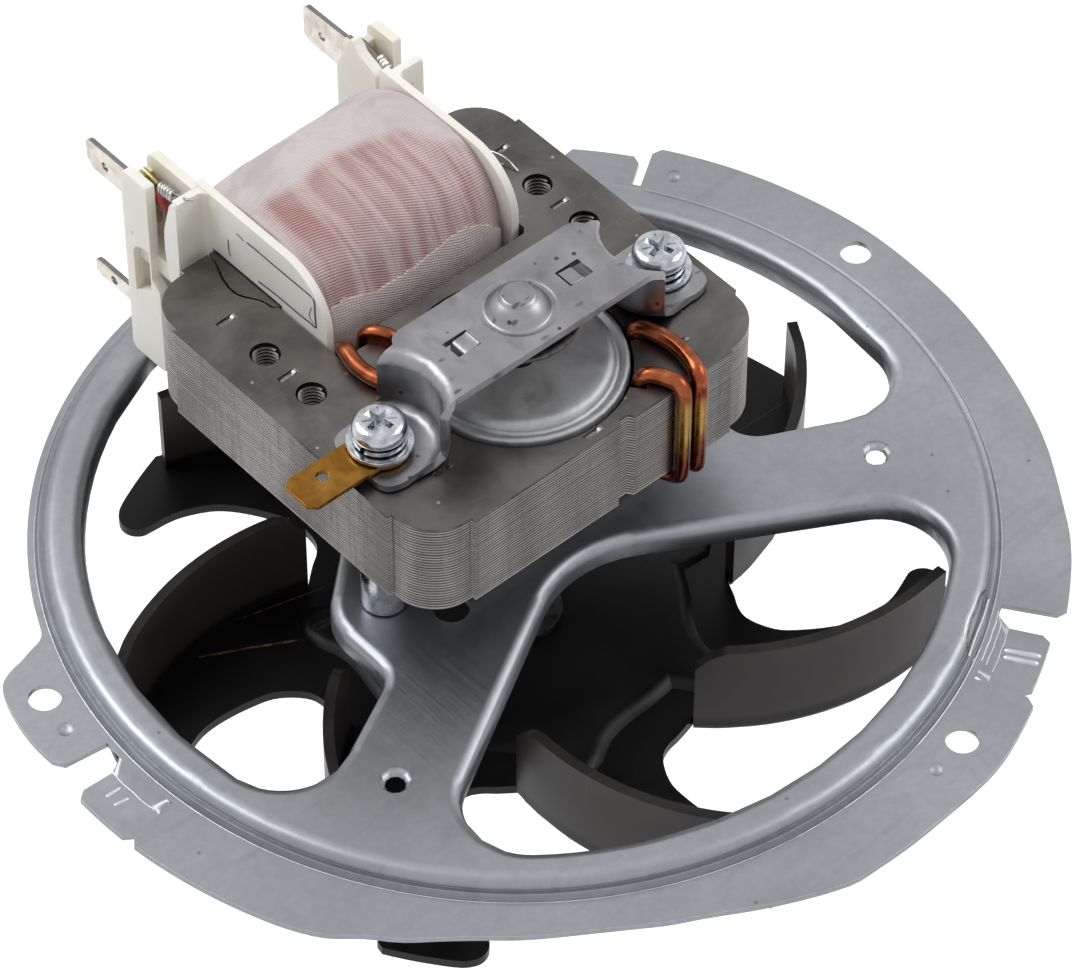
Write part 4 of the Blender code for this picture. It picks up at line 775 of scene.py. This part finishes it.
ROUNDED = (
    ("mounting_plate", "plate plate_edge", 0.14, 2, "plate_steel", "stator", 75),
    ("fan", "enamel", 0.12, 2, "black_enamel", "rotor", 34),
    ("bearing_bracket_top", "bracket bracket_edge", 0.13, 2, "bracket_steel", "stator", 48),
    ("bearing_bracket_bottom", "bracket bracket_edge", 0.13, 2, "bracket_steel", "stator", 48),
    ("coil_bobbin", "ivory", 0.3, 0, "ivory_moulding", "stator", 34),
)
# Rings of the plate's step: radius and height, then where the ring moves to
STEP_RINGS = ((62.88, 2.33, 63, 2.33), (63.56, 1.92, 64.1, 1.9), (64.98, 0.19, 65.14, 1.02))
NOTCH_FOOT, NOTCH_REACH = 65.8, 70  # radii between which the tabs' notches keep sharp edges


def fuller_step(work):
    """Draws the plate's step as one full round that ends in a crease at the flange."""
    for r, z, new_r, new_z in STEP_RINGS:
        for vert in work.verts:
            flat = hypot(vert.co.x, vert.co.y)
            if abs(flat / MM - r) < 0.09 and abs(vert.co.z / MM - z) < 0.03:
                vert.co.x *= new_r * MM / flat
                vert.co.y *= new_r * MM / flat
                vert.co.z = new_z * MM


def weigh_edges(work, sharp):
    """Marks the sharp edges to soften, all but those at the notches beside the tabs."""
    weights = work.edges.layers.float.new("bevel_weight_edge")
    work.normal_update()
    for edge in work.edges:
        if len(edge.link_faces) == 2 and edge.calc_face_angle() > radians(sharp):
            reach = [hypot(vert.co.x, vert.co.y) / MM for vert in edge.verts]
            at_notch = max(reach) > NOTCH_FOOT and min(reach) < NOTCH_REACH
            edge[weights] = 0 if at_notch else 1


def build_rounded():
    for node, finishes, width, axis, slot, body, sharp in ROUNDED:
        work = refined(node_shape(node), axis)
        if node == "mounting_plate":
            fuller_step(work)
            weigh_edges(work, sharp)
        made = piece(node + "_form", work, finishes, node, 180, body)
        soften(made, width, False, sharp)


def round_wires():
    """Smooths the shading coils' faceted wires; the swell makes up for the shrinking."""
    for name in SHADING_COILS.split():
        node = NODES[name]
        node.modifiers.clear()
        join_faces(node)
        modify(node, "smooth", "SUBSURF", levels=2, render_levels=2)
        modify(node, "swell", "DISPLACE", strength=0.26 * MM, mid_level=0)


# Laminated stack

TAPPED_HOLES = ((-24, 23.2), (24, 23.2), (-24, 13.7), (24, 13.7))
INTERLOCKS = ((-23.9, 31.4), (-24.2, 18.3), (24.6, 31.6), (23.9, 18.5), (-19.9, -7.9),
              (18.4, -11.5), (-1, -15.9))
GROOVE_CUTS = (-0.095, -0.035, 0.035, 0.095)  # heights about the joint of two sheets
GROOVE_REACH, GROOVE_DEPTH = 0.06, 0.1
MOST_SHIFT = 0.007


def side_way(vert):
    """The way straight out of the upright walls round a point, stretched at corners."""
    ways = [f.normal for f in vert.link_faces if abs(f.normal.z) < 0.5]
    if not ways:
        return None
    total = sum((Vector((w.x, w.y, 0)).normalized() for w in ways), Vector())
    if total.length < 1e-6:
        return None
    mean = total.normalized()
    return mean / max(mean.dot(Vector((ways[0].x, ways[0].y, 0)).normalized()), 0.5)


def sheeted(work, seed):
    """Cuts the upright walls into sheets, each a little in or out, with a groove between."""
    draw = random.Random(seed)
    shifts = [draw.uniform(-MOST_SHIFT, MOST_SHIFT) for _ in range(SHEETS)]
    for k in range(1, SHEETS):
        for step in GROOVE_CUTS:
            level = (STACK_LOW + k * SHEET_PITCH + step) * MM
            bmesh.ops.bisect_plane(work, geom=work.verts[:] + work.edges[:] + work.faces[:],
                                   dist=1e-8, plane_co=(0, 0, level), plane_no=(0, 0, 1))
    work.normal_update()
    moves = []
    for vert in work.verts:
        way = side_way(vert)
        if way is None:
            continue
        height = (vert.co.z / MM - STACK_LOW) / SHEET_PITCH
        joint = round(height)
        if 0 < joint < SHEETS and abs(height - joint) * SHEET_PITCH < GROOVE_REACH:
            moves.append((vert, way * -GROOVE_DEPTH * MM))
        else:
            sheet = min(max(int(height), 0), SHEETS - 1)
            moves.append((vert, way * shifts[sheet] * MM))
    for vert, move in moves:
        vert.co += move
    work.normal_update()
    for face in work.faces:
        face.material_index = 0 if abs(face.normal.z) > 0.9 else 1
    return work


def from_top(points, x=0, level=STACK_TOP):
    """An outline given by its distance from x and its height above a level."""
    return [(x + a, level + b) for a, b in points]


def build_stack():
    cutter, floors, tips = bmesh.new(), bmesh.new(), bmesh.new()
    for x, y in INTERLOCKS:
        slot = ((-1.55, 0.3), (-1.55, -0.42), (0.35, -0.55), (1.55, 0.02), (1.55, 0.3))
        prism(cutter, from_top(slot, x), 1, y - 0.46, y + 0.46)
        # The punched tongue: a grey floor low in the slot and a bright sheared tip
        floor = ((-1.2, -0.6), (-1.2, -0.34), (0.55, -0.26), (0.55, -0.6))
        prism(floors, from_top(floor, x), 1, y - 0.30, y + 0.36)
        tip = ((0.78, -0.5), (0.74, -0.16), (1.02, 0.03), (1.5, 0.05), (1.56, -0.3))
        prism(tips, from_top(tip, x), 1, y - 0.34, y + 0.34)
    core = sheeted(carved(refined(node_shape("stator_c_core")), cutter), 5)
    bar = sheeted(node_shape("coil_core_bar"), 9)
    for name, work, node in (("stator_sheets", core, "stator_c_core"),
                             ("coil_core_sheets", bar, "coil_core_bar")):
        piece(name, work, "lamination lamination_edge", node, 50)
    for name, finish, work in (("stator_interlock_floors", "lamination_floor", floors),
                               ("stator_interlock_tips", "sheared", tips)):
        bmesh.ops.bevel(work, geom=work.edges[:], offset=0.06 * MM, segments=2, affect="EDGES")
        piece(name, work, finish)


def build_threads():
    """Cut threads in the stack's tapped holes: lighter upward flanks, with painted shade on the
    downward flanks and the root, a spiral each.
    """
    pitch, steps = 0.62, 48
    profile = ((1.78, 0), (2.07, 0.2), (2.07, 0.46))  # radius and drop
    count = int((STACK_TOP - STACK_LOW - 1.2) / pitch) * steps
    for number, (x, y) in enumerate(TAPPED_HOLES, 1):
        work = bmesh.new()
        rows = []
        for i in range(count + 1):
            turn = tau * i / steps
            height = STACK_TOP - 0.12 - pitch * i / steps
            rows.append([point_at(work, *polar(r, turn, x, y), height - drop)
                         for r, drop in profile])
        for i in range(count):
            here, ahead = rows[i:i + 2]
            for k in (0, 1):
                # The downward flank and the root get the near-black copy: painted shade
                root = work.faces.new((here[k], ahead[k], ahead[k + 1], here[k + 1]))
                root.material_index = 1
            if i + steps < count:
                below, beyond = rows[i + steps:i + steps + 2]
                work.faces.new((here[2], ahead[2], beyond[0], below[0]))
        made = piece("tapped_thread_%d" % number, work, "thread thread_root",
                     None, 20)
        modify(made, "thick", "SOLIDIFY", thickness=0.02 * MM, offset=0)


# Fixings and bracket

def cross(outline, half_width, turn, x, y):
    """Four copies of a slot round an upright axis, to cut with."""
    cutter = bmesh.new()
    for quarter in range(4):
        fresh = prism(cutter, outline, 1, -half_width, half_width)
        spin = Matrix.Rotation(turn + quarter * pi / 2, 4, "Z")
        bmesh.ops.transform(cutter, matrix=spin, verts=fresh)
        bmesh.ops.translate(cutter, vec=(x * MM, y * MM, 0), verts=fresh)
    return cutter


def build_screws():
    """Pan heads with a cross recess and short radial marks, on a threaded shank."""
    head = ((0, 0), (1.2, 0), (2.5, -0.05), (3.08, -0.2), (3.44, -0.55), (3.64, -1.1),
            (3.7, -1.6))
    under = ((3.68, 0.25), (3.55, 0.06), (3.4, 0), (2, 0))
    recess = ((-0.02, 0.5), (-0.02, -1.55), (0.45, -1.5), (1.35, -0.6), (2.15, 0.02), (2.2, 0.5))
    mark = ((1, 0.5), (1, -0.12), (2.3, -0.2), (2.3, 0.5))
    for side, degrees in (("left", 12), ("right", 17)):
        low, high = ([v / MM for v in corner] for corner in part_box("bracket_screw_" + side))
        x, y, top = (low[0] + high[0]) / 2, (low[1] + high[1]) / 2, high[2]
        base = level = top - 2.3
        profile = from_top(head, 0, top) + from_top(under, 0, base)
        while level - 0.8 > low[2] + 0.5:
            profile += from_top(((2, -0.15), (1.72, -0.4), (2, -0.65)), 0, level)
            level -= 0.7
        profile += from_top(((1.95, 0.4), (1.55, 0), (0, 0)), 0, low[2])
        work = bmesh.new()
        lathe(work, profile, x, y)
        turn = radians(degrees)
        work = carved(work, cross(from_top(recess, 0, top), 0.46, turn, x, y))
        turn += radians(45)
        work = carved(work, cross(from_top(mark, 0, top), 0.12, turn, x, y))
        piece("cross_screw_" + side, work, "zinc", "bracket_screw_" + side, 35)


def build_tongues():
    """The pressed-down tongue in each bracket window, joined at its outer end by a curved ramp."""
    top, thick = 41.5, 0.7
    outline = ((7.9, -0.05), (8.2, -0.16), (8.7, -0.24), (9.6, -0.28), (10.15, -0.34),
               (10.45, -0.5), (10.64, -0.78), (10.72, -1.2), (10.74, -1.7), (10.1, -1.7),
               (10.06, -1.3), (9.9, -1.05), (9.5, -0.28 - thick), (8.4, -0.2 - thick),
               (7.9, -thick))
    for side, name in ((-1, "left"), (1, "right")):
        work = bmesh.new()
        prism(work, [(r * side, top + z) for r, z in outline], 1, -1.58, 1.18)
        soften(piece("bracket_tongue_" + name, work, "bracket", None, 50),
               0.1, False)


# Coil: tape, flap, ink and leads

COIL_Y, COIL_Z = 34.45, 23.1
CORNER = 11.5  # radius of the section's corners
FLAT_Y, FLAT_Z = 13.9 - CORNER, 18.45 - CORNER  # half lengths of its straight sides
QUARTER = CORNER * pi / 2
AROUND = 4 * (QUARTER + FLAT_Y + FLAT_Z)
TAPE_REACH = 15.4
# Edges over the tape's width: x, then the distance s along the section
FLAP_EDGE = ((-15.4, -12.2, -10.4, -6.7, -2.4, 2.1, 6.8, 9.4, 11.9, 15.4),
             (16.3, 15.6, 16.2, 17.2, 17.2, 16.8, 16.1, 16.3, 17.2, 20.2))
CONTACT_EDGE = ((-15.4, -12.8, -7.3, -1.9, 3.9, 9.8, 11.5, 15.4),
                (-1.4, -1.4, -1, -2.2, -1.3, 0.3, 4.2, 7))
STRIPES = ((-13.6, -9.4), (-7, -4), (-1.5, 0.1), (1.7, 3.2), (6.6, 7.5))


def section(s):
    """Point and outward way of the coil's section, s mm from its top centre toward the rotor."""
    s %= AROUND
    centre, turn = (0, FLAT_Z), pi / 2
    for length, corner in ((FLAT_Y, (-FLAT_Y, FLAT_Z)), (2 * FLAT_Z, (-FLAT_Y, -FLAT_Z)),
                           (2 * FLAT_Y, (FLAT_Y, -FLAT_Z)), (2 * FLAT_Z, (FLAT_Y, FLAT_Z)),
                           (FLAT_Y, (0, FLAT_Z))):
        if s <= length:
            centre = (centre[0] - sin(turn) * s, centre[1] + cos(turn) * s)
            break
        s -= length
        centre = corner
        if s <= QUARTER:
            turn += s / CORNER
            break
        s -= QUARTER
        turn += pi / 2
    way = (cos(turn), sin(turn))
    return (COIL_Y + centre[0] + way[0] * CORNER, COIL_Z + centre[1] + way[1] * CORNER), way


def from_middle(s):
    """The distance s as one between minus and plus half the way round."""
    return (s + AROUND / 2) % AROUND - AROUND / 2


def hump(value, low, high, soft):
    """1 between low and high, falling softly outside."""
    rise = np.clip((value - low) / soft + 0.5, 0, 1)
    fall = np.clip((high - value) / soft + 0.5, 0, 1)
    return (rise * rise * (3 - 2 * rise)) * (fall * fall * (3 - 2 * fall))


def soft_noise(seed, size, count=7):
    """A smooth random field over (x, s) from a few waves of about the given size in mm."""
    draw = random.Random(seed)
    waves = [(draw.uniform(0.6, 1.6) / size, draw.uniform(0, tau), draw.uniform(0, tau))
             for _ in range(count)]

    def field(x, s):
        return sum(np.sin(tau * rate * (x * cos(way) + s * sin(way)) + phase)
                   for rate, way, phase in waves) / sqrt(count)
    return field


def skew_shift(x):
    """How far the weft has run toward the rotor at x, in mm, from the cheek on the left."""
    fine = np.linspace(-TAPE_REACH, TAPE_REACH, 200)
    slope = np.tan(np.radians(4 + 19 * hump(fine, -11, 8, 8)))
    run = np.concatenate([[0], np.cumsum((slope[1:] + slope[:-1]) / 2 * np.diff(fine))])
    return np.interp(x, fine, run)


def sheet_piece(name, rows, columns, closed, lift, lower, seed, finish, replaced=None):
    """A closed sheet over the coil's section: rows of s by columns of x, from lower up to lift."""
    dents, fine = soft_noise(seed, 7), soft_noise(seed + 1, 1.6)
    outer, inner = [], []
    layers = {"weft": [], "warp": [], "contact": [], "stripe": []}
    for x in columns:
        for row in rows(x):
            (y, z), way = section(row)
            up = lift(x, row) + 0.05 * dents(x, row) + 0.02 * fine(x, row)
            for side, height in ((outer, up), (inner, lower(x, row))):
                side.append((x, y + way[0] * height, z + way[1] * height))
            s = from_middle(row)
            back, edge = np.interp(x, *CONTACT_EDGE), np.interp(x, *FLAP_EDGE)
            touch = float(hump(s, back, edge + 30, 2.4) * hump(x, -14.6, 14.9, 0.8))
            lean = x + 0.35 * sin(s * 0.5) + 0.02 * (s - 16)
            striped = touch * max(float(hump(lean, a, b, 1.3)) for a, b in STRIPES)
            for layer, value in zip(layers.values(), (row - skew_shift(x), x, touch, striped)):
                layer.append(value)
    count, total = len(rows(columns[0])), len(outer)
    end = total - count
    faces = []

    def wall(a, b):
        faces.append((a, total + a, total + b, b))

    around = [(r, (r + 1) % count) for r in range(count if closed else count - 1)]
    for start in range(0, end, count):
        for here, ahead in around:
            a, b = start + here, start + ahead
            faces.append((a, b, b + count, a + count))
            faces.append((total + a + count, total + b + count, total + b, total + a))
    for here, ahead in around:
        wall(here, ahead)
        wall(end + ahead, end + here)
    if not closed:
        for start in range(0, end, count):
            wall(start + count, start)
            wall(start + count - 1, start + 2 * count - 1)
    mesh = bpy.data.meshes.new(name)
    mesh.from_pydata([tuple(v * MM for v in p) for p in outer + inner], [], faces)
    for key, values in layers.items():
        layer = mesh.attributes.new(key, "FLOAT", "POINT")
        layer.data.foreach_set("value", np.array(values + values, np.float32))
    mesh.validate()
    piece(name, mesh, finish, replaced, 60)


def build_tape():
    def roll_off(x):
        return 1.05 * max(abs(x) / TAPE_REACH - 0.8, 0) ** 2 / 0.04

    def lift(x, s):
        s = from_middle(s)
        up = 0.38 + 0.47 * float(hump(s, -19, 13.5, 7))
        # The winding's rear shoulder stands squarer toward the right cheek
        rear = float(hump(s, -14.5, -3, 7)) * float(hump(x, -11, 13.5, 6))
        up += rear * (0.35 + 0.65 * (x + TAPE_REACH) / (2 * TAPE_REACH))
        # Pucker in front of the bracket, between the last stripes
        up -= 0.35 * float(hump(s, 6, 10.5, 3) * hump(x, 9.2, 11.4, 1.6))
        return up - roll_off(x)

    def under(x, s):
        return 0.02 - 1.15 * (abs(x) / TAPE_REACH) ** 8

    ring = [AROUND * (i / 320 - 0.5) for i in range(320)]
    columns = [TAPE_REACH * sin(pi / 2 * (i / 36 - 1)) for i in range(73)]
    sheet_piece("coil_tape_wrap", lambda x: ring, columns, True, lift, under, 21, "tape",
                "coil_tape")
    ragged = soft_noise(77, 2.2)

    def flap_rows(x):
        edge = float(np.interp(x, *FLAP_EDGE)) + 0.10 * float(ragged(x, 0))
        return [edge + (36 - edge) * (i / 60) ** 1.25 for i in range(61)]

    columns = [-14.5 + 29.3 * i / 80 for i in range(81)]
    sheet_piece("coil_tape_flap", flap_rows, columns, False,
                lambda x, s: 0.9 - 0.75 * roll_off(x), lambda x, s: 0.42 - 0.9 * roll_off(x),
                31, "flap")


def build_ink():
    """An empty hand-drawn frame on the left cheek, as strokes of y and z with a width."""
    strokes = (((37.4, 38), (36.7, 37.98), (35.9, 37.7), 0.22),
               ((35.3, 37.95), (33, 38.02), (30.4, 37.96), (26.2, 37.94), (22.9, 37.96),
                (21.7, 37.88), 0.3),
               ((21.6, 37.9), (21.25, 37.2), (21.24, 35.5), (21.15, 33.4), (21.1, 32.6), 0.36),
               ((21.05, 32.55), (22.6, 32.6), (24.5, 32.47), (28.6, 32.5), (31.4, 32.35),
                (33.2, 32.2), 0.3),
               ((39.3, 35.5), (39.26, 34.4), (39.2, 33.4), (38.9, 32.5), 0.26),
               ((21.9, 35.9), (22.3, 34.6), (22.35, 33.7), (21.5, 32.9), 0.16))
    cheek = -16.9
    work = bmesh.new()
    for *points, width in strokes:
        stroke(work, smooth_path([(cheek, a, b) for a, b in points], 5), width, (-1, 0, 0))
    piece("cheek_ink_frame", work, "ink")


def coil_round(start, end, radius, turns, steps=14):
    """Points of a wire that winds round the line from start to end."""
    a, b = Vector(start), Vector(end)
    ahead = (b - a).normalized()
    side = ahead.orthogonal().normalized()
    other = ahead.cross(side)
    count = turns * steps
    return [tuple(a.lerp(b, i / count) + (side * cos(tau * i / steps)
                                          + other * sin(tau * i / steps)) * radius)
            for i in range(count + 1)]


def bent(work, points, radius, steps=8, taper=None):
    """Adds a round wire on a smooth curve through a few points."""
    wire(work, smooth_path(points), radius, steps, taper)


# Name, finish, the tail's x range, its outline in y and z, and the wire along its top
TAILS = (
    ("terminal_tail_right", "tin", 18.9, 19.5,
     ((55.3, 36.6), (55.1, 38.7), (53.2, 38.55), (51.3, 37.9), (49.2, 37), (49.2, 35.6)),
     ((19.2, 55, 38.75), (19.25, 53.4, 38.6), (19.3, 51.6, 38.05), (19.3, 50.8, 37.7))),
    ("terminal_tail_left", "yellowed_tin", -19.5, -18.9,
     ((54.6, 36.4), (54.5, 38.9), (52.6, 38.9), (51, 38.5), (50.2, 38.2), (50.2, 36.4)),
     ((-19.2, 54.4, 39), (-19.2, 53.2, 39), (-19.2, 51.9, 38.8), (-19.2, 51, 38.5))),
)


def build_leads():
    """Tails of the upper terminals with the soldered winding ends wrapped round them."""
    for name, finish, low, high, outline, ridge in TAILS:
        work = bmesh.new()
        prism(work, outline, 0, low, high)
        bent(work, ridge, 0.42, 10, [0.5] + [1] * 17 + [0.4])
        piece(name, work, finish)
    leads, sleeve, end = bmesh.new(), bmesh.new(), bmesh.new()
    wire(leads, coil_round((19.25, 50.9, 38.1), (19.25, 48.9, 37), 0.62, 4), 0.31)
    bent(leads, ((19.6, 49, 36.9), (19.5, 49, 36), (19.3, 48.9, 34.6), (19.2, 48.7, 32.5)),
         0.17)
    wire(leads, coil_round((-19.2, 50.6, 38.5), (-19.2, 47.6, 38.9), 0.66, 5), 0.32)
    bent(leads, ((-19.3, 47.8, 39.5), (-19.4, 46.6, 40), (-19.6, 45.4, 40.6),
                 (-19.8, 44.3, 41.15), (-19.2, 43.4, 41.3)), 0.2)
    for a, b, blob in (((19.3, 50.2, 38), (19.3, 49.2, 37.3), 0.72),
                       ((-19.2, 49.6, 38.7), (-19.2, 48.3, 38.9), 0.74)):
        points = [tuple(Vector(a).lerp(Vector(b), t)) for t in (0, 0.15, 0.5, 0.85, 1)]
        wire(leads, points, blob, 12, [0.35, 0.85, 1, 0.85, 0.35])
    bent(sleeve, ((-19.5, 50.4, 38.1), (-19.55, 50.1, 37.3), (-19.5, 49.7, 36.2),
                  (-19.4, 49.3, 35.1), (-19.3, 48.9, 34.2), (-19.2, 48.3, 31)), 0.92, 14,
         [0.3, 0.7, 0.9, 1, 1.05, 1.1, 1.1, 1.08, 1.04, 1, 0.95, 0.9, 0.84, 0.78, 0.7, 0.6,
          0.5, 0.4, 0.35, 0.32] + [0.3] * 11)
    bent(end, ((17.1, 34.6, 30.7), (19.5, 33.6, 31.1), (22.4, 32.3, 31.7), (23.5, 29.5, 31.8),
               (23.65, 26.8, 31.05)), 0.16)
    for name, work, finish, slot in (("soldered_leads", leads, "solder", "tinned_brass"),
                                     ("red_sleeve", sleeve, "red_varnish", "winding_copper"),
                                     ("lead_end", end, "solder", "tinned_brass")):
        piece(name, work, finish, None, 60)


# Ribs at the tabs: two ends, radius, and how far the rib stands over the tab
RIBS = (((34, -59.3), (37, -63.6), 0.62, 0.3), ((33.1, -60.1), (35.8, -64.3), 0.62, 0.3),
        ((-71.4, 0.3), (-68.7, 0.45), 0.45, 0.1), ((-71.5, -1.5), (-69, -1.7), 0.45, 0.1))
TAB_LEVEL = -1.7
SCRATCHES = ((((-37.9, 23.75), (-35.5, 22.45), (-33.1, 21.2), (-31, 20.1), (-29.1, 18.95),
               (-27.2, 17.9), (-25.6, 17)), 0.3),
             (((-29.7, 25.5), (-26.5, 24.6), (-23.3, 23.8), (-20, 22.9), (-16.6, 22)), 0.13))
WEB_LEVEL = -20.6
RIPPLES = ((-63.9, -56, (66.5, 67.2, 68.2)), (175.6, 184.8, (68.3,)))  # degrees, radii
CREASE_RADIUS = 65.74


def add_ripples(work):
    """Adds the fine ripples that the press left on the plate beside two tabs."""
    plate = node_shape("mounting_plate")
    ground = BVHTree.FromBMesh(plate)
    for first, last, radii in RIPPLES:
        for number, radius in enumerate(radii):
            points = []
            for i in range(15):
                turn = radians(first + (last - first) * i / 14)
                x, y = polar(radius + 0.035 * sin(1.3 * i + 1.7 * number), turn)
                above = Vector((x * MM, y * MM, 0.02))
                hit = ground.ray_cast(above, Vector((0, 0, -1)))[0]
                if hit is not None:
                    points.append((x, y, hit.z / MM - 0.05))
            wire(work, points, 0.14 - 0.02 * number)
    plate.free()


def build_marks():
    """Pressed ribs, lips and creases of the plate, and the scratches on the impeller's web; the
    plate's marks are in its lighter copy as a painted highlight, with a dark stroke beside the lens
    as a painted shadow.
    """
    work = bmesh.new()
    for (ax, ay), (bx, by), radius, proud in RIBS:
        level = TAB_LEVEL + proud - radius
        wire(work, [(ax + (bx - ax) * t, ay + (by - ay) * t, level)
                    for t in (0, .04, .12, .88, .96, 1)],
             radius, 16, [0.55, 0.85, 1, 1, 0.85, 0.55])
    lens = smooth_path([(37.5, -51.5, 1.35), (36.1, -52.1, 1.86), (34, -53.3, 1.92),
                        (31.4, -54.7, 1.98), (28.9, -56.5, 1.7), (28.1, -58, 0.65)], 8)
    swell = [0.35 + 0.65 * sin(pi * i / (len(lens) - 1)) for i in range(len(lens))]
    wire(work, lens, 0.42, 14, swell)
    lip = ((37.3, -53.76, -0.05), (34.6, -55.5, -0.04), (31.7, -57.08, -0.02),
           (28.3, -59.07, -0.08))
    for shift in (0, 0.6):
        bent(work, [(x - shift * 0.5, y + shift * 0.8, z + shift * 1.6) for x, y, z in lip],
             0.2, 10)
    add_ripples(work)
    # A thin ring along the crease at the flange, in the lighter copy: a painted highlight line
    crease = [(*polar(CREASE_RADIUS, tau * i / 240), 0) for i in range(241)]
    wire(work, crease, 0.08, 6)
    # Ribs, lens, lips, ripples and crease ring take the plate's lighter copy: painted highlight
    piece("plate_pressings", work, "plate_edge", None, 60)
    work = bmesh.new()
    # A dark stroke beside the lens: painted shadow along its crease
    stroke(work, [(x + 0.38, y - 0.55, z + 0.12) for x, y, z in lens[2:-4]], 0.32,
           (0.3, -0.45, 0.85), 0.03)
    piece("plate_crease_painted_shadow", work, "retainer")
    work = bmesh.new()
    for points, width in SCRATCHES:
        stroke(work, [(x, y, WEB_LEVEL) for x, y in points], width, (0, 0, 1), 0.03)
    piece("fan_scratches", work, "bare_scratch", body="rotor")


build_rounded()
round_wires()
build_marks()
build_stack()
build_threads()
build_screws()
build_tongues()
build_tape()
build_ink()
build_leads()


# Floor, light and camera, in metres

def build_floor(size=6, level=-0.16):
    mesh = bpy.data.meshes.new("floor")
    mesh.from_pydata([(x * size, y * size, level) for x, y in ((-1, -1), (1, -1), (1, 1), (-1, 1))],
                     [], [(0, 1, 2, 3)])
    mesh.materials.append(floor_white())
    linked("floor", mesh)


def area_light(name, place, side, power):
    """A square lamp that looks at the origin."""
    data = bpy.data.lights.new(name, "AREA")
    data.shape = "RECTANGLE"
    data.size = data.size_y = side
    data.energy = power
    lamp = linked(name, data)
    lamp.location = place
    lamp.rotation_mode = "QUATERNION"
    lamp.rotation_quaternion = (-Vector(place)).to_track_quat("-Z", "Y")


def build_world():
    """White to the camera and in reflections, dimmer as a light on the object."""
    world = bpy.data.worlds.new("studio")
    bpy.context.scene.world = world
    world.use_nodes = True
    graph = Graph(world.node_tree)
    back = world.node_tree.nodes["Background"]
    graph.plug(back.inputs["Strength"], graph.span(graph.seen(), 0, 1, 0.55, 1))
    graph.plug(back.inputs["Color"], (1, 1, 1, 1))


def build_camera():
    """The photograph's camera, fitted to the plate's circles and the stator's edges."""
    data = bpy.data.cameras.new("camera")
    data.sensor_width = 36
    data.lens = 172.512
    data.clip_start = 0.05
    data.clip_end = 20
    camera = linked("camera", data)
    right = (0.74782707, -0.6638889, 0.00248965)
    up = (0.49187706, 0.5565779, 0.66953566)
    back = (-0.44588297, -0.49947229, 0.74277574)
    place = (-0.30970, -0.35135, 0.52609)
    camera.matrix_world = Matrix([*zip(right, up, back, place), (0, 0, 0, 1)])
    bpy.context.scene.camera = camera


build_floor()
build_world()
area_light("key", (-0.5, 0.9, 1.3), 0.9, 12)
area_light("fill", (0.9, -0.5, 0.9), 0.8, 6)
build_camera()
bpy.context.scene.view_settings.view_transform = "Standard"
